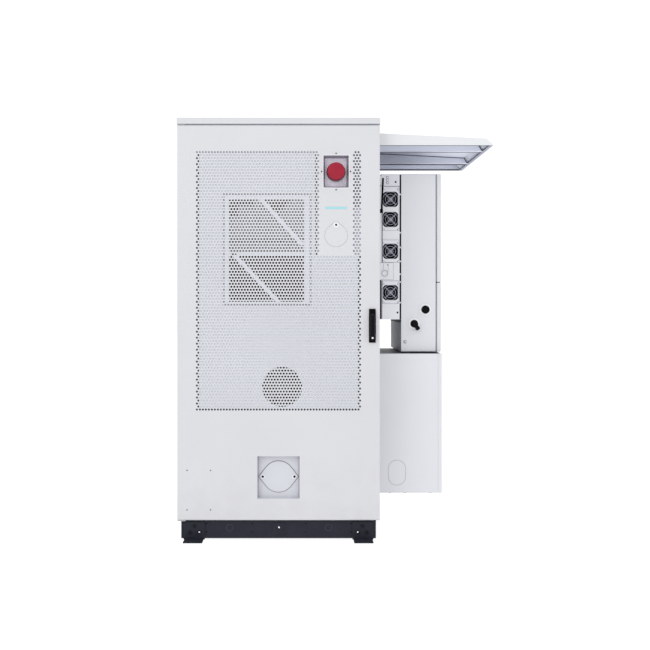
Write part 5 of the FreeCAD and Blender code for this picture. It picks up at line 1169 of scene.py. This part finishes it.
def inverter_switch():
    """Light rings round the switch and the round cap, and the switch's grip."""
    face = INVERTER_FACE
    depths = (face - 0.8, face)
    hoop("switch_ring", 27.0, 19.2, 12, SWITCH, depths, rim_paint, slot="inverter_paint")
    hoop("cap_ring", 27.5, 20.2, 12, CAP, depths, rim_paint, slot="inverter_paint")
    cos, sin = math.cos(GRIP_TURN), math.sin(GRIP_TURN)
    outline = [(GRIP_OFFSET[0] + px * cos - pz * sin, GRIP_OFFSET[1] + px * sin + pz * cos)
               for px, pz in rounded(23, 20, 5)]
    plates("knob_grip", outline, [SWITCH], (face - 21, face - 4), 0.0, black_plastic, "dc_knob")


def cover_screws():
    """Flush screws along the edges of the two side covers."""
    places = [(COVER_X, y, z) for y in (-251, 251) for z in COVER_SCREWS]
    places += [(COVER_X, y, z) for y in (-125, 0, 125) for z in COVER_ENDS]
    fit("inverter_cover_screws", flush_screw, 4.4, places, TO_RIGHT, zinc_steel)


def inverter_lines():
    """Seams, gaskets and plate outlines on the narrow face. The plate outlines and the dark strips along the
    tray's edge, beside the tray, in the heatsink's gap, in the cover seam and under the heatsink are painted
    shade.
    """
    face = INVERTER_FACE
    bars("plate_top_seal", [(509.5, 593.5, 1686.0, 1689.0)], (face - 0.4, face), line_paint)
    # Painted shade: grey outlines for the edges of the fan plates.
    for number, (low, high) in enumerate(PLATES):
        ring_frame("plate_line_%d" % (number + 1), rounded(82, high - low, 2),
                   rounded(79.4, high - low - 2.6, 1), (PLATE_X, (low + high) / 2), (face - 0.5, face),
                   soft_line_paint)
    bars("tray_flange", [(495.0, 505.5, 1311.0, 1689.0)], (face + 0.5, face + 2.0), tray_paint)
    # Painted shadow: a dark strip along the tray's folded edge.
    trim = [(505.5, 509.3, 1311.0, 1686.0), (505.5, 508.0, 1031.0, 1221.0)]
    bars("tray_trim", trim, (face - 0.4, face + 1.0), line_paint)
    # Painted shade: a dark strip in the gap between the cabinet and the fan tray.
    bars("tray_gap_seal", [(496.0, 504.0, 1031.0, 1222.0)], (face + 1.0, face + 4.0), plinth_paint,
         slot="seal_rubber")
    # Painted shadow: a black strip at the bottom of the heatsink's gap.
    bars("heatsink_seal", [(594.3, 601.7, 1030.0, 1747.0)], (SEAM_FACE, SEAM_FACE + 1.0), foam_rubber)
    seam = (face - 0.3, face + 0.2)
    # Painted shadow: a dark strip in the seam before the side covers.
    bars("cover_seal", [(772.6, 776.4, 870.0, 1746.5)], seam, line_paint)
    bars("cover_split_seal", [(776.6, 795.0, 1210.8, 1214.2)], seam, dark_plastic, slot="seal_rubber")
    # Painted shadow: a black strip for the contact shadow under the heatsink.
    blocks("heatsink_foot_seal", [(601, 602, -250, 262, 1012, 1029)], dark_plastic, slot="seal_rubber")


def lifting_lug():
    """Plate, slot, notch and ring of the lug, and the hooked tab above the fans."""
    face = INVERTER_FACE
    front = face - 1.2
    bars("lug_plate", [(494.5, 562.7, 1225.5, 1309.0)], (front, face), tray_paint)
    ring_frame("lug_plate_line", rounded(70, 85.4, 1), rounded(67.4, 82.8, 0.8), (528.6, 1267.2),
               (front - 0.2, front), soft_line_paint)
    slot_sides = [(512.6, 514.2, 1270.0, 1306.0), (536.6, 538.2, 1262.0, 1306.0)]
    bars("lug_slot", slot_sides, (front - 0.4, front), soft_line_paint)
    fit("lug_notch", rivet, 3.0, [(535.4, front, 1298.0)], TO_FRONT, line_paint)
    ring_frame("lug_ring", rounded(31, 31, 15.4, 10), rounded(25.5, 25.5, 12.6, 10), (521.0, 1257.0),
               (face - 3.3, face), soft_line_paint)
    ring_frame("hook_tab_line", rounded(27, 56, 8), rounded(23, 52, 6), TAB, (face + 0.2, face + 2.2),
               line_paint)
    plates("hook_tab", rounded(24, 53, 6), [TAB], (face + 0.4, face + 2.2), 0.0, tray_paint)


def wiring_details():
    """Cover screws, knock-out outline and the blind plugs under the wiring box."""
    rim = [(COVER_X, y, z) for y in (-285, 223) for z in evenly(190, 848, 6)]
    rim += [(COVER_X, y, z) for y in (-115, 55) for z in (190, 848)]
    fit("wiring_cover_screws", flush_screw, 4.4, rim, TO_RIGHT, zinc_steel)
    ring_frame("knockout_line", rounded(87, 125, 43.4, 14), rounded(84, 122, 41.9, 14), (577.5, 276.5),
               (-297.2, -296.2), soft_line_paint)
    plugs = [(x, y, 176.0) for x in (545, 621, 746) for y in (-262, -160, -60)]
    fit("blind_plugs", hex_bolt, 9.0, plugs, TO_FLOOR, collar_plastic, slot="collar_plastic")


fan_fronts()
inverter_screws()
inverter_switch()
cover_screws()
inverter_lines()
lifting_lug()
wiring_details()


# Canopy, plinth, roof and rear
CANOPY_RIM = 1862.0
ARMS = (-264.0, 153.0)
ARM_DROPS = (2.2, 5.0)
ARM_TOP = [(477, 1913), (988, 1888), (988, 1892), (477, 1917)]
ARM_END = [(999, 1862), (1006, 1862), (989, 1892), (982, 1892)]
PLINTH_FACE = 504.0
COVER_SPANS = ((-344.0, -117.0), (120.0, 347.0))
REAR_FACE = 525.0


def canopy_shadow_lines():
    """Dark strips behind the arms, along their tops and ends and inside the outer walls, for the shadows
    there, and a darker strip under the lip for its shade; all painted shade.
    """
    # Painted shadow: dark strips behind each arm and along its top and end.
    for number, (arm, drop) in enumerate(zip(ARMS, ARM_DROPS)):
        bm = bmesh.new()
        slab(bm, 476, 1005, arm + 31, arm + 34, CANOPY_RIM - drop, CANOPY_RIM + 2)
        for outline in (ARM_TOP, ARM_END):
            loft(bm, [at(outline, 0, arm - depth, 0) for depth in (0.0, 1.2)])
        piece_from(bm, "arm_edging_%d" % (number + 1), dark_line_paint)
    # Painted shadow: dark strips inside the outer walls and at the end.
    edging = [(478, 1004, -438, -424, 1862.2, 1863.6), (478, 1004, 438.5, 440, 1862.2, 1870),
              (1003.5, 1006, -424, 438, 1862.2, 1866)]
    blocks("canopy_edging", edging, line_paint)
    # Painted shade: a darker strip under the lip.
    blocks("lip_tape", [(1006, 1021.5, -438, 438, 1861.4, 1862)], lip_paint)


def roof_gasket():
    """Grey seal in the seam between the roof cap and the door."""
    bars("roof_gasket", [(-470, 470, 1944.7, 1948.7)], (-518, -512), soft_line_paint)


def plinth_front():
    """Pocket covers with their rivets, front and rear, the pocket rings and the bright screws."""
    for name, way, facing in (("plinth_covers_front", -1, TO_FRONT), ("plinth_covers_rear", 1, TO_BACK)):
        face = way * PLINTH_FACE
        outer = face + way * 0.9
        bm = bmesh.new()
        for x0, x1 in COVER_SPANS:
            upright_plate(bm, rounded(x1 - x0, 66, 2), ((x0 + x1) / 2, 52), sorted((face, outer)))
        piece_from(bm, name, plinth_paint)
        places = [(x, outer, z) for x in (-337.7, -125.2, 129.0, 341.0) for z in (73.7, 35.0)]
        fit(name + "_rivets", rivet, 3.0, places, facing, dark_plastic, slot="zinc_steel")
    for x, name in ((-230.0, "pocket_ring_left"), (235.0, "pocket_ring_right")):
        hoop(name, 17, 14, 10, (x, 55.0), (-505.5, -504.8), plinth_line)
    bright = [(2.4, -506.0, 56.7), (-371.5, -514.0, 36.0), (371.5, -514.0, 36.0)]
    fit("bright_screws", pan_screw, 5.0, bright, TO_FRONT, bright_metal)


def rear_fasteners():
    """Flat-headed fasteners round the rear panel."""
    places = [(x, REAR_FACE, z) for x in (-461, 461) for z in evenly(112, 1928, 10)]
    places += [(x, REAR_FACE, z) for x in evenly(-340, 340, 5) for z in (112, 1928)]
    fit("rear_screws", rivet, 4.6, places, TO_BACK, zinc_steel)


canopy_shadow_lines()
roof_gasket()
plinth_front()
rear_fasteners()

for shape in (socket_screw, pan_screw, hex_bolt, rivet, flush_screw, washer):
    bpy.data.objects.remove(shape)


# Camera, light and floor
def camera():
    data = bpy.data.cameras.new("camera")
    data.sensor_width = SENSOR
    data.lens = SENSOR * FOCAL_PX / IMAGE_PX
    data.shift_x = (IMAGE_PX / 2 - PRINCIPAL_PX[0]) / IMAGE_PX
    data.shift_y = -(IMAGE_PX / 2 - PRINCIPAL_PX[1]) / IMAGE_PX
    data.clip_end = 60
    eye = bpy.data.objects.new("camera", data)
    eye.location = EYE
    eye.rotation_euler = (math.pi / 2, 0, 0)
    bpy.context.scene.collection.objects.link(eye)
    bpy.context.scene.camera = eye


def softbox(name, place, aim, size, watts):
    data = bpy.data.lights.new(name, "AREA")
    data.shape = "RECTANGLE"
    data.size, data.size_y = size
    data.energy = watts
    lamp = bpy.data.objects.new(name, data)
    lamp.location = place
    lamp.rotation_euler = (Vector(aim) - Vector(place)).to_track_quat("-Z", "Y").to_euler()
    bpy.context.scene.collection.objects.link(lamp)


def studio():
    """White surroundings, a pale floor that glows to white, and two soft lamps."""
    world = bpy.data.worlds.new("studio")
    bpy.context.scene.world = world
    world.use_nodes = True
    sky = world.node_tree.nodes["Background"]
    sky.inputs["Color"].default_value = (1.0, 1.0, 1.0, 1.0)
    sky.inputs["Strength"].default_value = 1.09
    bm = bmesh.new()
    bmesh.ops.create_grid(bm, x_segments=2, y_segments=2, size=30)
    mesh = mesh_of(bm, "floor")
    finish = Finish("floor_paint", Roughness=0.9, **{"Emission Strength": 0.80})
    tone = finish.noise(0.8, 2.0)
    white = finish.mix(tone, rgb((0.985, 0.985, 0.985)), rgb((1.0, 1.0, 1.0)))
    finish.set(colour=finish.mix(tone, rgb((0.38, 0.38, 0.38)), rgb((0.40, 0.40, 0.40))), glow=white)
    mesh.materials.append(finish.material)
    floor = bpy.data.objects.new("floor", mesh)
    bpy.context.scene.collection.objects.link(floor)
    softbox("key", (-2.6, -4.2, 3.6), (0.1, 0, 1.1), (2.6, 2.6), 40)
    softbox("rim", (3.4, -1.2, 3.2), (0.5, 0, 1.2), (1.5, 2.5), 10)
    bpy.context.scene.view_settings.view_transform = "Standard"


camera()
studio()
